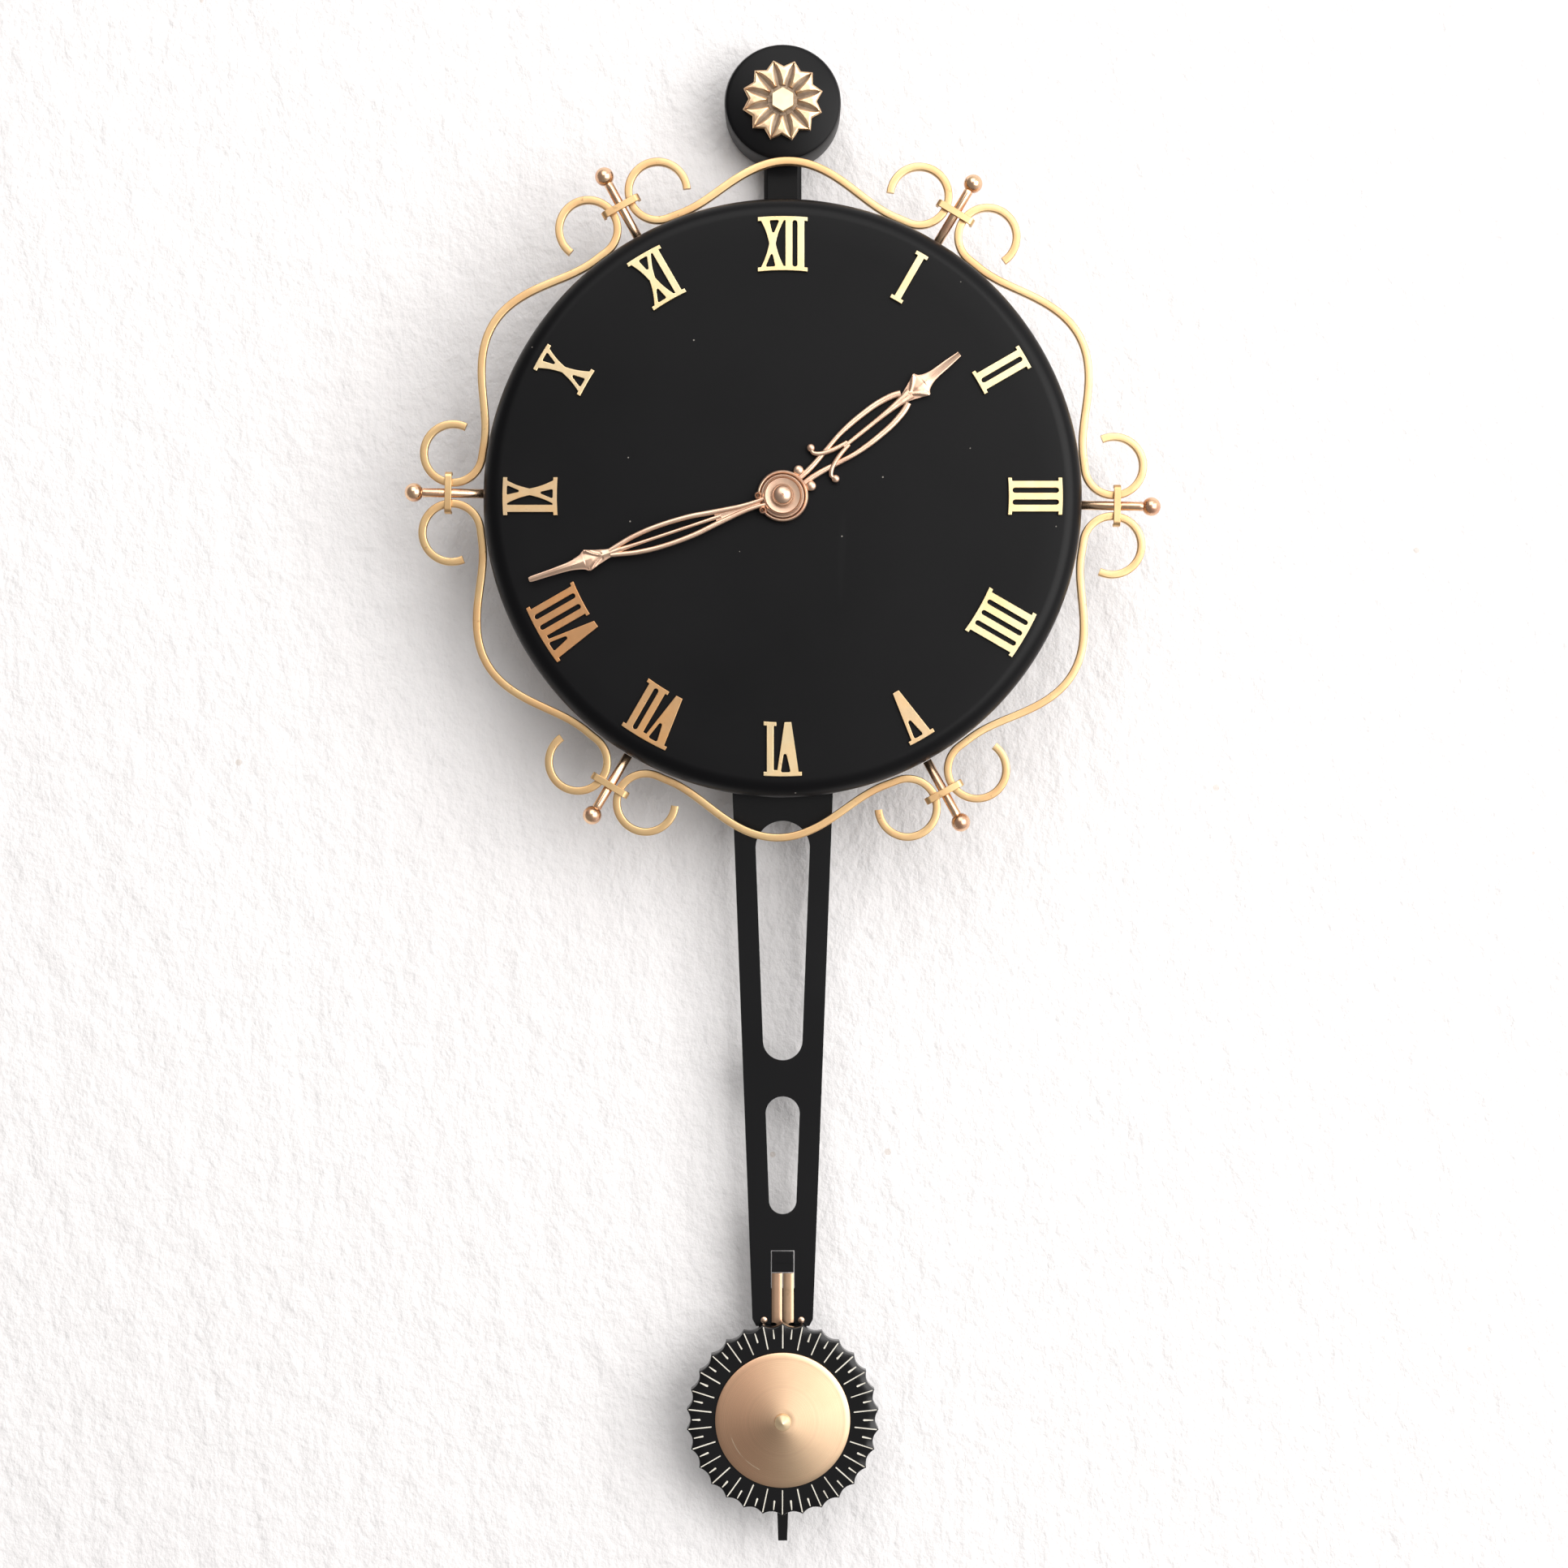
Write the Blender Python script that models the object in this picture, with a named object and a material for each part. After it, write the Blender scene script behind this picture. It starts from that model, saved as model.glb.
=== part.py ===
"""A pendulum wall clock: scroll-wire dial, relief hands, hidden battery movement and swinging bob.

The origin is on the wall behind the hanger cap. +Z is up, +X is to the right of someone facing
the dial, and the wall is the plane y = 0. A depth is a distance out from the wall, so y = -depth.
Angles round the dial are in degrees clockwise from twelve.
"""
import math

import bmesh
import bpy
from mathutils import Matrix, Vector

MM = 0.001
GAP = 0.3 * MM  # between pieces that touch
RUNNING_GAP = 0.3 * MM  # round a shaft that turns

# Hanger cap, its rosette and the plate that hangs on the wall screw
CAP_RADIUS = 22.1 * MM
CAP_WALL = 2.0 * MM
CAP_BACK = 2.3 * MM
CAP_FRONT = 22.0 * MM
CAP_CHAMFER = 2.0 * MM
HANGER_THICKNESS = 2.0 * MM
KEYHOLE_ENTRY_RADIUS = 4.0 * MM
KEYHOLE_SLOT_RADIUS = 2.1 * MM
KEYHOLE_ENTRY_RISE = 9.5 * MM
KEYHOLE_SLOT_RISE = 15.0 * MM
ROSETTE_PETALS = 12
ROSETTE_RADIUS = 15.5 * MM
ROSETTE_NOTCH = 2.6 * MM
ROSETTE_CREST_RADIUS = 10.5 * MM
ROSETTE_WELL_RADIUS = 5.9 * MM
ROSETTE_WELL_SLOPE = 0.6 * MM
ROSETTE_UNDERCUT = 0.8 * MM  # the back is this much smaller than the petals
ROSETTE_EDGE = 1.2 * MM  # heights above the rosette's back
ROSETTE_CREST = 3.2 * MM
ROSETTE_WELL_RIM = 2.6 * MM
ROSETTE_WELL_FLOOR = 1.6 * MM
ROSETTE_GROOVE = 1.0 * MM
ROSETTE_TURN = 17.0
BOLT_ACROSS_FLATS = 8.0 * MM
BOLT_HEAD = 2.6 * MM
BOLT_RADIUS = 2.0 * MM

# Frame strap
NECK_LENGTH = 19.0 * MM  # seen between the cap and the dial
NECK_WIDTH = 14.4 * MM
STRAP_THICKNESS = 6.0 * MM
STRAP_EDGE = 1.3 * MM
STRAP_ABOVE_BOLT = 3.0 * MM
STRAP_CORNER = 2.0 * MM
YOKE_HALF_WIDTH = 38.0 * MM
YOKE_HEIGHT = 24.0 * MM

# Dial pan and numerals
DIAL_RADIUS = 111.2 * MM
DIAL_FRONT = 52.0 * MM
DIAL_BACK = 37.0 * MM
DIAL_WALL = 1.5 * MM
DIAL_BORE_ROOM = 0.8 * MM  # round the hour wheel's pipe
DIAL_EDGE_RADIUS = 7.0 * MM
NUMERAL_MARGIN = 17.8 * MM  # from the rim in to the middle of the numerals
NUMERAL_HEIGHT = 20.0 * MM
NUMERAL_BAR = 1.5 * MM
NUMERAL_STEM = 2.6 * MM
NUMERAL_SLOT = 1.8 * MM
NUMERAL_SERIF = 1.2 * MM
NUMERAL_HAIRLINE = 1.4 * MM
NUMERAL_V_WIDTH = 8.0 * MM
NUMERAL_X_WIDTH = 8.4 * MM
NUMERAL_WAIST = 2.4 * MM
NUMERAL_V_GAP = 1.2 * MM
NUMERAL_V_SLIT = 0.8 * MM  # from the bar down to the slit beside the V
NUMERAL_V_POINT = (0.2 * MM, 0.8 * MM)  # the window's lower end, in from the thin stroke and down
NUMERAL_V_ROUND = 0.5 * MM
NUMERAL_X_POINT = (0.2 * MM, 3.2 * MM)  # a window's inner end, from the X's middle
NUMERAL_X_ROUND = 0.4 * MM
NUMERAL_X_GAP = 0.6 * MM
NUMERAL_THICKNESS = 1.2 * MM
NUMERALS = ("XII", "I", "II", "III", "IIII", "V", "VI", "VII", "VIII", "IX", "X", "XI")

# Scroll ring
RING_COUNT = 6
RING_TURN = 1.1
RING_DEPTH = 40.0 * MM
WIRE_WIDTH = 2.9 * MM
WIRE_STANDOFF = 0.6 * MM  # between the rim and the wire
WIRE_CREST = 13.0 * MM  # how far the wire swings out between two finials
WIRE_REST = 4.25 * MM  # how far the wire follows the rim after its curl
CURL_RADIUS = 10.9 * MM
CURL_SWEEP = 288.0
ROD_RADIUS = 1.7 * MM
ROD_CLEARANCE = 0.75 * MM
ROD_LENGTH = 26.4 * MM  # from the rim to the middle of the ball
BALL_RADIUS = 3.5 * MM
CLASP_PLAY = 1.25 * MM  # between a clasp's leg and the curl's wire
CLASP_WIDTH = 2.6 * MM
CLASP_THICKNESS = 1.2 * MM
CLASP_RISE = 0.5 * MM  # outward from the curls' middles

# Hands
HOUR_ANGLE = 51.3
MINUTE_ANGLE = 251.55
HOUR_LENGTH = 83.6 * MM
MINUTE_LENGTH = 98.4 * MM
HOUR_HUB_RADIUS = 9.6 * MM
MINUTE_HUB_RADIUS = 7.3 * MM
HAND_THICKNESS = 1.5 * MM
HAND_CLEARANCE = 0.7 * MM
DIAL_TO_HAND = 2.0 * MM
RELIEF = 0.3 * MM  # balls and horns stand this far proud of a blade
BALL_SIZE = 1.9 * MM
BALL_ASIDE = 3.7 * MM
BALL_BEYOND_HUB = 1.0 * MM
HORN_TIP_SIZE = 1.5 * MM
HORN_WIDTH = 1.6 * MM
SCROLL_SIZE = 1.4 * MM
SCROLL_ASIDE = 2.7 * MM
SCROLL_BEYOND_HUB = 0.7 * MM
HAND_NUT_RADIUS = 4.1 * MM
HAND_NUT_HEIGHT = 3.1 * MM
HAND_NUT_DOME = 2.2 * MM
ARBOR_IN_NUT = 1.5 * MM

# Motion work: two gear pairs on the same centre distance, 12 to 1 in all
GEAR_DISTANCE = 19.2 * MM
CANNON_TEETH = 8
MINUTE_WHEEL_TEETH = 24
MINUTE_PINION_TEETH = 8
HOUR_WHEEL_TEETH = 32
WHEEL_THICKNESS = 2.0 * MM
PINION_LENGTH = 3.5 * MM
PINION_STANDOFF = 2.7 * MM  # in front of the movement's plate
WHEEL_STEP = 1.5 * MM  # from the cannon pinion to the hour wheel
PINION_OVERHANG = 0.6 * MM
SEAT = 1.0 * MM  # how deep a pinion or a pipe sits in its wheel
ARBOR_STANDOFF = 3.0 * MM  # in front of the cavity's floor
ARBOR_RADIUS = 2.0 * MM
PIPE_WALL = 0.9 * MM
MINUTE_ARBOR_RADIUS = 1.5 * MM
KNOB_RADIUS = 6.0 * MM
KNOB_LENGTH = 5.0 * MM
KNOB_CAP = 1.5 * MM
KNOB_RIDGES = 16
KNOB_RIDGE_DEPTH = 0.5 * MM

# Movement housing
HOUSING_HALF_WIDTH = 46.0 * MM
HOUSING_ABOVE_PIN = 8.7 * MM
HOUSING_BELOW_COIL = 2.0 * MM
HOUSING_BACK = 9.0 * MM
HOUSING_FRONT = 36.0 * MM
HOUSING_WALL = 2.0 * MM
CHANNEL_HALF_WIDTH = 15.0 * MM
CHANNEL_FLOOR = 22.5 * MM
CAVITY_FLOOR = 24.5 * MM
FRONT_PLATE_THICKNESS = 2.0 * MM
PILLAR_RADIUS = 3.0 * MM
FOOT_WIDTH = 12.0 * MM
BATTERY_RADIUS = 7.1 * MM
BATTERY_LENGTH = 50.5 * MM
BATTERY_ROOM = 1.0 * MM
BATTERY_ROUND = 0.6 * MM
BATTERY_NUB_RADIUS = 2.7 * MM
BATTERY_NUB = 1.2 * MM
SPRING_HEIGHT = 3.2 * MM
SPRING_WIRE_RADIUS = 0.4 * MM
SPRING_START_RADIUS = 4.9 * MM
SPRING_END_RADIUS = 2.3 * MM
COIL_RADIUS = 8.0 * MM
COIL_THICKNESS = 6.0 * MM
COIL_DROP = 38.0 * MM
MOTOR_WIDTH = 24.0 * MM
MOTOR_HEIGHT = 18.0 * MM
MOTOR_DROP = 8.0 * MM
MOTOR_ASIDE = 3.0 * MM  # from the centre arbor

# Pendulum
PIN_RISE = 57.3 * MM  # suspension pin above the dial's middle
PIN_RADIUS = 2.0 * MM
EYE_RADIUS = 6.5 * MM
ROD_HALF_WIDTH = 4.5 * MM
ARM_DEPTH = 5.5 * MM
ARM_FRONT = 19.5 * MM
ARM_SHEET = 1.2 * MM
ARM_FLANGE = 1.4 * MM
ARM_VISIBLE = 200.8 * MM  # below the dial's rim
ARM_TOP_HALF_WIDTH = 19.0 * MM
ARM_END_HALF_WIDTH = 11.4 * MM
ARM_SHOULDER = 24.0 * MM  # the shoulder's height
ARM_HIDDEN = 5.0 * MM  # the taper goes on this far above the rim
ARM_CORNER = 2.6 * MM
ARM_RAIL = 8.0 * MM  # on each side of a slot
ARM_BRIDGE = 13.75 * MM  # between a slot and the next opening
LONG_SLOT_DROP = 9.0 * MM  # below the dial's rim
SHORT_SLOT_LENGTH = 44.7 * MM
WINDOW_LENGTH = 28.7 * MM
WINDOW_WIDTH = 8.9 * MM
CLAMP_LENGTH = 8.0 * MM
CLAMP_PROUD = 0.6 * MM
CLAMP_STEP = 0.8 * MM
CLAMP_LEDGE = 4.4 * MM  # the thick upper part
CLICK_THICKNESS = 0.8 * MM
CLICK_SLIT = 0.7 * MM
CLICK_SPLIT = 6.0 * MM
CLICK_NOTCH = 1.0 * MM
RIVET_SPACING = 14.1 * MM
RIVET_RADIUS = 1.25 * MM
RIVET_RISE = 2.4 * MM  # above the arm's end
RIVET_HEAD = 0.7 * MM
RIVET_LIP = 0.45 * MM  # the head is this much wider than the shank
MAGNET_RADIUS = 5.0 * MM
MAGNET_THICKNESS = 1.6 * MM

# Bob
DISC_LAP = 2.3 * MM  # the disc's points reach this far above the arm's end
BOB_STUD_RADIUS = 2.0 * MM
BOB_STUD_PROUD = 1.5 * MM  # in front of the cone, into the nut
CARRIER_THICKNESS = 2.2 * MM
CARRIER_PLAY = 0.9 * MM  # inside the arm's flanges
CARRIER_LAP = 14.0 * MM  # behind the arm's end
CARRIER_SHELF = 3.0 * MM
CARRIER_BOSS_RADIUS = 8.0 * MM
POINTER_SHOWING = 11.3 * MM  # below the disc
POINTER_TOP_HALF_WIDTH = 2.1 * MM
POINTER_END_HALF_WIDTH = 1.7 * MM
DISC_SCALLOPS = 30
DISC_RADIUS = 36.4 * MM
DISC_SCALLOP_DEPTH = 1.5 * MM
DISC_THICKNESS = 6.2 * MM
DISC_WEB = 2.5 * MM
DISC_RIM = 6.5 * MM
DISC_EDGE = 0.6 * MM
DISC_HUB_RADIUS = 6.0 * MM
RATE_OFFSET = 3.5 * MM  # the pocket's offset, which makes the disc heavier on one side
CONE_RADIUS = 25.5 * MM
CONE_HEIGHT = 4.0 * MM
CONE_EDGE = 0.8 * MM
CONE_TOP_RADIUS = 3.5 * MM
BOB_NUT_RADIUS = 3.1 * MM
BOB_NUT_COLLAR = 1.6 * MM
BOB_NUT_HEIGHT = 3.6 * MM
BOB_NUT_POINT_RADIUS = 0.5 * MM

# Worked out from the sizes above
DIAL_Z = -(CAP_RADIUS + NECK_LENGTH + DIAL_RADIUS)
RIM_Z = DIAL_Z - DIAL_RADIUS
PIN_Z = DIAL_Z + PIN_RISE
ARM_END_Z = RIM_Z - ARM_VISIBLE
BOB_Z = ARM_END_Z + DISC_LAP - DISC_RADIUS
STRAP_BACK = HANGER_THICKNESS + GAP
STRAP_FRONT = STRAP_BACK + STRAP_THICKNESS
ARM_BACK = ARM_FRONT - ARM_DEPTH
SHEET_BACK = ARM_FRONT - ARM_SHEET
CARRIER_FRONT = SHEET_BACK - GAP
DISC_BACK = ARM_FRONT + GAP + RIVET_HEAD + GAP
DISC_FRONT = DISC_BACK + DISC_THICKNESS
CONE_BACK = DISC_FRONT + GAP
CONE_FRONT = CONE_BACK + CONE_HEIGHT
WIRE_RADIUS = DIAL_RADIUS + WIRE_STANDOFF + WIRE_WIDTH / 2
CURL_OFFSET = ROD_RADIUS + ROD_CLEARANCE + WIRE_WIDTH / 2 + CURL_RADIUS
CURL_CENTRE = WIRE_RADIUS + CURL_RADIUS
HOUR_HAND_BACK = DIAL_FRONT + DIAL_TO_HAND
MINUTE_HAND_BACK = HOUR_HAND_BACK + HAND_THICKNESS + HAND_CLEARANCE
PIPE_BORE = ARBOR_RADIUS + RUNNING_GAP
PIPE_RADIUS = PIPE_BORE + PIPE_WALL
PLATE_BACK = HOUSING_FRONT + GAP
PLATE_FRONT = PLATE_BACK + FRONT_PLATE_THICKNESS
CANNON_BACK = PLATE_FRONT + PINION_STANDOFF
HOUR_WHEEL_BACK = CANNON_BACK + PINION_LENGTH + WHEEL_STEP
MINUTE_WHEEL_BACK = CANNON_BACK + (PINION_LENGTH - WHEEL_THICKNESS) / 2
NUT_BACK = MINUTE_HAND_BACK + HAND_THICKNESS + GAP
HOUSING_TOP_Z = PIN_Z + HOUSING_ABOVE_PIN
HOUSING_BOTTOM_Z = DIAL_Z - COIL_DROP - COIL_RADIUS - HOUSING_BELOW_COIL - HOUSING_WALL
BATTERY_X = BATTERY_RADIUS + BATTERY_ROOM + HOUSING_WALL - HOUSING_HALF_WIDTH

PIVOTS = {
    "case": Vector((0, 0, 0)),
    "pendulum": Vector((0, -ARM_FRONT, PIN_Z)),
    "rating_disc": Vector((0, -DISC_BACK, BOB_Z)),
    "minute_hand": Vector((0, -MINUTE_HAND_BACK, DIAL_Z)),
    "hour_hand": Vector((0, -HOUR_HAND_BACK, DIAL_Z)),
    "minute_wheel": Vector((GEAR_DISTANCE, -CANNON_BACK, DIAL_Z)),
}
BODY_PARENTS = {"rating_disc": "pendulum"}

FINISHES = {  # colour, roughness, metallic
    "black_lacquer": ((0.018, 0.018, 0.021), 0.42, 0.0),
    "black_plastic": ((0.025, 0.025, 0.027), 0.55, 0.0),
    "numeral_brass": ((0.83, 0.58, 0.24), 0.3, 1.0),
    "wire_brass": ((0.72, 0.50, 0.25), 0.34, 1.0),
    "rose_brass": ((0.72, 0.45, 0.32), 0.36, 1.0),
    "cone_brass": ((0.78, 0.57, 0.28), 0.28, 1.0),
    "rosette_brass": ((0.76, 0.60, 0.36), 0.35, 1.0),
    "steel": ((0.55, 0.55, 0.56), 0.35, 1.0),
    "copper_coil": ((0.60, 0.26, 0.12), 0.4, 1.0),
    "battery_sleeve": ((0.08, 0.16, 0.30), 0.4, 0.0),
}


# Flat outlines, as lists of (x, z) points
def polar(angle, radius, centre=(0.0, 0.0)):
    """The point at an angle clockwise from twelve."""
    turn = math.radians(angle)
    return centre[0] + radius * math.sin(turn), centre[1] + radius * math.cos(turn)


def arc(centre, radius, start, end, steps):
    return [polar(start + (end - start) * i / steps, radius, centre) for i in range(steps + 1)]


def circle(centre, radius, steps=32):
    return arc(centre, radius, 0, 360, steps)[:-1]


def rectangle(left, right, bottom, top):
    return [(left, bottom), (right, bottom), (right, top), (left, top)]


def both_sides(half):
    """A closed outline from its right half, listed from one end to the other."""
    return half + [(-x, z) for x, z in reversed(half) if abs(x) > 1e-9]


def tapered_slot(top, bottom, top_radius, bottom_radius, steps=6):
    """A slot with round ends, its top and bottom given by height."""
    upper = arc((0, top - top_radius), top_radius, 0, 90, steps)
    lower = arc((0, bottom + bottom_radius), bottom_radius, 90, 180, steps)
    return both_sides(upper + lower)


def rounded(points, radius, steps=2):
    """The outline with each corner turned into an arc of this radius."""
    done = []
    for i, corner in enumerate(points):
        corner = Vector(corner)
        before = (Vector(points[i - 1]) - corner).normalized()
        after = (Vector(points[(i + 1) % len(points)]) - corner).normalized()
        half = before.angle(after) / 2
        middle = corner + (before + after).normalized() * radius / math.sin(half)
        start = corner + before * radius / math.tan(half) - middle
        end = corner + after * radius / math.tan(half) - middle
        turn = start.angle_signed(end)
        for k in range(steps + 1):
            done.append(tuple(middle + Matrix.Rotation(-turn * k / steps, 2) @ start))
    return done


def turned_to(points, angle, centre):
    """Points drawn with up as outward, carried to an angle round a centre."""
    turn = math.radians(angle)
    cos, sin = math.cos(turn), math.sin(turn)
    return [(centre[0] + x * cos + z * sin, centre[1] - x * sin + z * cos) for x, z in points]


# Closed shapes
def plate(outline, back, front, holes=()):
    """A flat plate between two depths, with holes through it."""
    shape = bmesh.new()
    edges = []
    for loop in (outline, *holes):
        corners = [shape.verts.new((x, -front, z)) for x, z in loop]
        edges += [shape.edges.new(pair) for pair in zip(corners, corners[1:] + corners[:1])]
    bmesh.ops.triangle_fill(shape, use_beauty=True, edges=edges)
    return thickened(shape, front - back)


def thickened(shape, thickness):
    made = bmesh.ops.extrude_face_region(shape, geom=shape.faces[:])["geom"]
    moved = [item for item in made if isinstance(item, bmesh.types.BMVert)]
    bmesh.ops.translate(shape, verts=moved, vec=(0, thickness, 0))
    bmesh.ops.recalc_face_normals(shape, faces=shape.faces)
    return shape


def wire(path, width, back, front):
    """A square wire that follows a path in the plane of the dial."""
    shape = bmesh.new()
    pairs = []
    for i, point in enumerate(path):
        ahead = Vector(path[min(i + 1, len(path) - 1)])
        behind = Vector(path[max(i - 1, 0)])
        across = (ahead - behind).orthogonal().normalized() * width / 2
        ends = (Vector(point) + across, Vector(point) - across)
        pairs.append([shape.verts.new((x, -front, z)) for x, z in ends])
    for (a, b), (c, d) in zip(pairs, pairs[1:]):
        shape.faces.new((a, b, d, c))
    return thickened(shape, front - back)


def turned(profile, steps, hollow=False, centre=(0.0, 0.0)):
    """A solid of revolution about Y, from (radius, depth) points. A hollow one never meets the axis."""
    shape = bmesh.new()
    corners = [shape.verts.new((radius, -depth, 0)) for radius, depth in profile]
    pairs = list(zip(corners, corners[1:]))
    if hollow:
        pairs.append((corners[-1], corners[0]))
    edges = [shape.edges.new(pair) for pair in pairs]
    bmesh.ops.spin(shape, geom=corners + edges, cent=(0, 0, 0), axis=(0, 1, 0),
                   angle=math.tau, steps=steps, use_merge=True)
    bmesh.ops.remove_doubles(shape, verts=shape.verts, dist=1e-7)
    bmesh.ops.recalc_face_normals(shape, faces=shape.faces)
    bmesh.ops.translate(shape, verts=shape.verts, vec=(centre[0], 0, centre[1]))
    return shape


def washer(bore, radius, back, front, steps, centre=(0.0, 0.0)):
    profile = [(bore, front), (radius, front), (radius, back), (bore, back)]
    return turned(profile, steps, hollow=True, centre=centre)


def rod(radius, back, front, steps, centre=(0.0, 0.0)):
    return turned([(0, front), (radius, front), (radius, back), (0, back)], steps, centre=centre)


def block(left, right, bottom, top, back, front):
    return plate(rectangle(left, right, bottom, top), back, front)


def ringed(rings):
    """A closed ring-shaped body through rings of (x, y, z) points with equal counts."""
    shape = bmesh.new()
    loops = [[shape.verts.new(point) for point in ring] for ring in rings]
    for near, far in zip(loops, loops[1:] + loops[:1]):
        for i in range(len(near)):
            shape.faces.new((near[i - 1], near[i], far[i], far[i - 1]))
    bmesh.ops.recalc_face_normals(shape, faces=shape.faces)
    return shape


# Scene objects
def clear_scene():
    for obj in list(bpy.data.objects):
        bpy.data.objects.remove(obj, do_unlink=True)


def make_materials():
    for name, (colour, roughness, metallic) in FINISHES.items():
        material = bpy.data.materials.new(name)
        material.use_nodes = True
        shader = material.node_tree.nodes["Principled BSDF"]
        shader.inputs["Base Color"].default_value = (*colour, 1)
        shader.inputs["Roughness"].default_value = roughness
        shader.inputs["Metallic"].default_value = metallic


def make_bodies():
    """One empty on each joint's axis, which the moving pieces hang from."""
    empties = {}
    for name, pivot in PIVOTS.items():
        empty = bpy.data.objects.new(name + "_axis", None)
        empty.empty_display_size = 10 * MM
        bpy.context.scene.collection.objects.link(empty)
        parent = BODY_PARENTS.get(name)
        empty.parent = empties.get(parent)
        empty.location = pivot - (PIVOTS[parent] if parent else Vector())
        empties[name] = empty
    return empties


def add(name, shape, finish, body="case", smooth=False):
    """Makes a piece of the clock from a shape in world coordinates."""
    bmesh.ops.translate(shape, verts=shape.verts, vec=-PIVOTS[body])
    mesh = bpy.data.meshes.new(name)
    shape.to_mesh(mesh)
    shape.free()
    if smooth:
        mesh.shade_smooth()
        mesh.set_sharp_from_angle(angle=math.radians(35))
    mesh.materials.append(bpy.data.materials[finish])
    piece = bpy.data.objects.new(name, mesh)
    bpy.context.scene.collection.objects.link(piece)
    piece.parent = BODIES[body]
    return piece


def combine(piece, shape, operation):
    """Joins a shape in world coordinates to a piece, or cuts it away."""
    mesh = bpy.data.meshes.new(piece.name + "_tool")
    shape.to_mesh(mesh)
    shape.free()
    tool = bpy.data.objects.new(mesh.name, mesh)
    bpy.context.scene.collection.objects.link(tool)
    tool.hide_render = True
    tool.display_type = "WIRE"
    modifier = piece.modifiers.new(operation.lower(), "BOOLEAN")
    modifier.operation = operation
    modifier.object = tool


def cut(piece, *shapes):
    for shape in shapes:
        combine(piece, shape, "DIFFERENCE")


def unite(piece, *shapes):
    for shape in shapes:
        combine(piece, shape, "UNION")


def bevel(piece, width):
    modifier = piece.modifiers.new("bevel", "BEVEL")
    modifier.width = width
    modifier.segments = 1
    modifier.limit_method = "ANGLE"
    modifier.angle_limit = math.radians(60)


# Hanger
def keyhole_outline():
    """A round entry with a slot rising from it."""
    half_mouth = math.degrees(math.asin(KEYHOLE_SLOT_RADIUS / KEYHOLE_ENTRY_RADIUS))
    entry = arc((0, KEYHOLE_ENTRY_RISE), KEYHOLE_ENTRY_RADIUS, half_mouth, 360 - half_mouth, 16)
    slot = arc((0, KEYHOLE_SLOT_RISE), KEYHOLE_SLOT_RADIUS, -90, 90, 8)
    return entry + slot


def make_hanger():
    inside = CAP_RADIUS - CAP_WALL - GAP
    disc = plate(circle((0, 0), inside, 40), 0, HANGER_THICKNESS, [keyhole_outline()])
    add("hanger_plate", disc, "steel")


def make_cap():
    bore = BOLT_RADIUS + GAP
    inner = CAP_RADIUS - CAP_WALL
    ceiling = CAP_FRONT - CAP_WALL
    profile = [
        (bore, CAP_FRONT),
        (CAP_RADIUS - CAP_CHAMFER, CAP_FRONT),
        (CAP_RADIUS - CAP_CHAMFER * 0.3, CAP_FRONT - CAP_CHAMFER * 0.3),
        (CAP_RADIUS, CAP_FRONT - CAP_CHAMFER),
        (CAP_RADIUS, CAP_BACK),
        (inner, CAP_BACK),
        (inner, ceiling),
        (bore, ceiling),
    ]
    cap = add("hanger_cap", turned(profile, 36, hollow=True), "black_lacquer", smooth=True)
    side = NECK_WIDTH / 2 + GAP
    below = -CAP_RADIUS - CAP_WALL
    cut(cap, block(-side, side, below, -CAP_RADIUS / 2, 0, STRAP_FRONT + GAP))


def petal_ring(radius, height, notch=0.0, groove=0.0):
    """One ring round the rosette. Its grooves run to the petals' tips."""
    points = []
    steps = ROSETTE_PETALS * 4
    for i in range(steps):
        wave = abs(math.cos(math.pi * i / 4))
        x, z = polar(ROSETTE_TURN + 360 * i / steps, radius - notch * (1 - wave))
        points.append((x, -(height - groove * wave), z))
    return points


def make_rosette():
    base = CAP_FRONT + GAP
    bore = BOLT_RADIUS + GAP
    rings = [
        petal_ring(bore, base),
        petal_ring(ROSETTE_RADIUS - ROSETTE_UNDERCUT, base, ROSETTE_NOTCH),
        petal_ring(ROSETTE_RADIUS, base + ROSETTE_EDGE, ROSETTE_NOTCH),
        petal_ring(ROSETTE_CREST_RADIUS, base + ROSETTE_CREST, 0, ROSETTE_GROOVE),
        petal_ring(ROSETTE_WELL_RADIUS, base + ROSETTE_WELL_RIM, 0, ROSETTE_GROOVE / 5),
        petal_ring(ROSETTE_WELL_RADIUS - ROSETTE_WELL_SLOPE, base + ROSETTE_WELL_FLOOR),
        petal_ring(bore, base + ROSETTE_WELL_FLOOR),
    ]
    add("rosette", ringed(rings), "rosette_brass", smooth=True)


def make_rosette_bolt():
    seat = CAP_FRONT + GAP + ROSETTE_WELL_FLOOR + GAP
    corner = BOLT_ACROSS_FLATS / math.sqrt(3)
    bolt = add("rosette_bolt", plate(circle((0, 0), corner, 6), seat, seat + BOLT_HEAD), "rosette_brass")
    unite(bolt, rod(BOLT_RADIUS, STRAP_BACK + GAP, seat + BOLT_HEAD / 2, 24))


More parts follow.
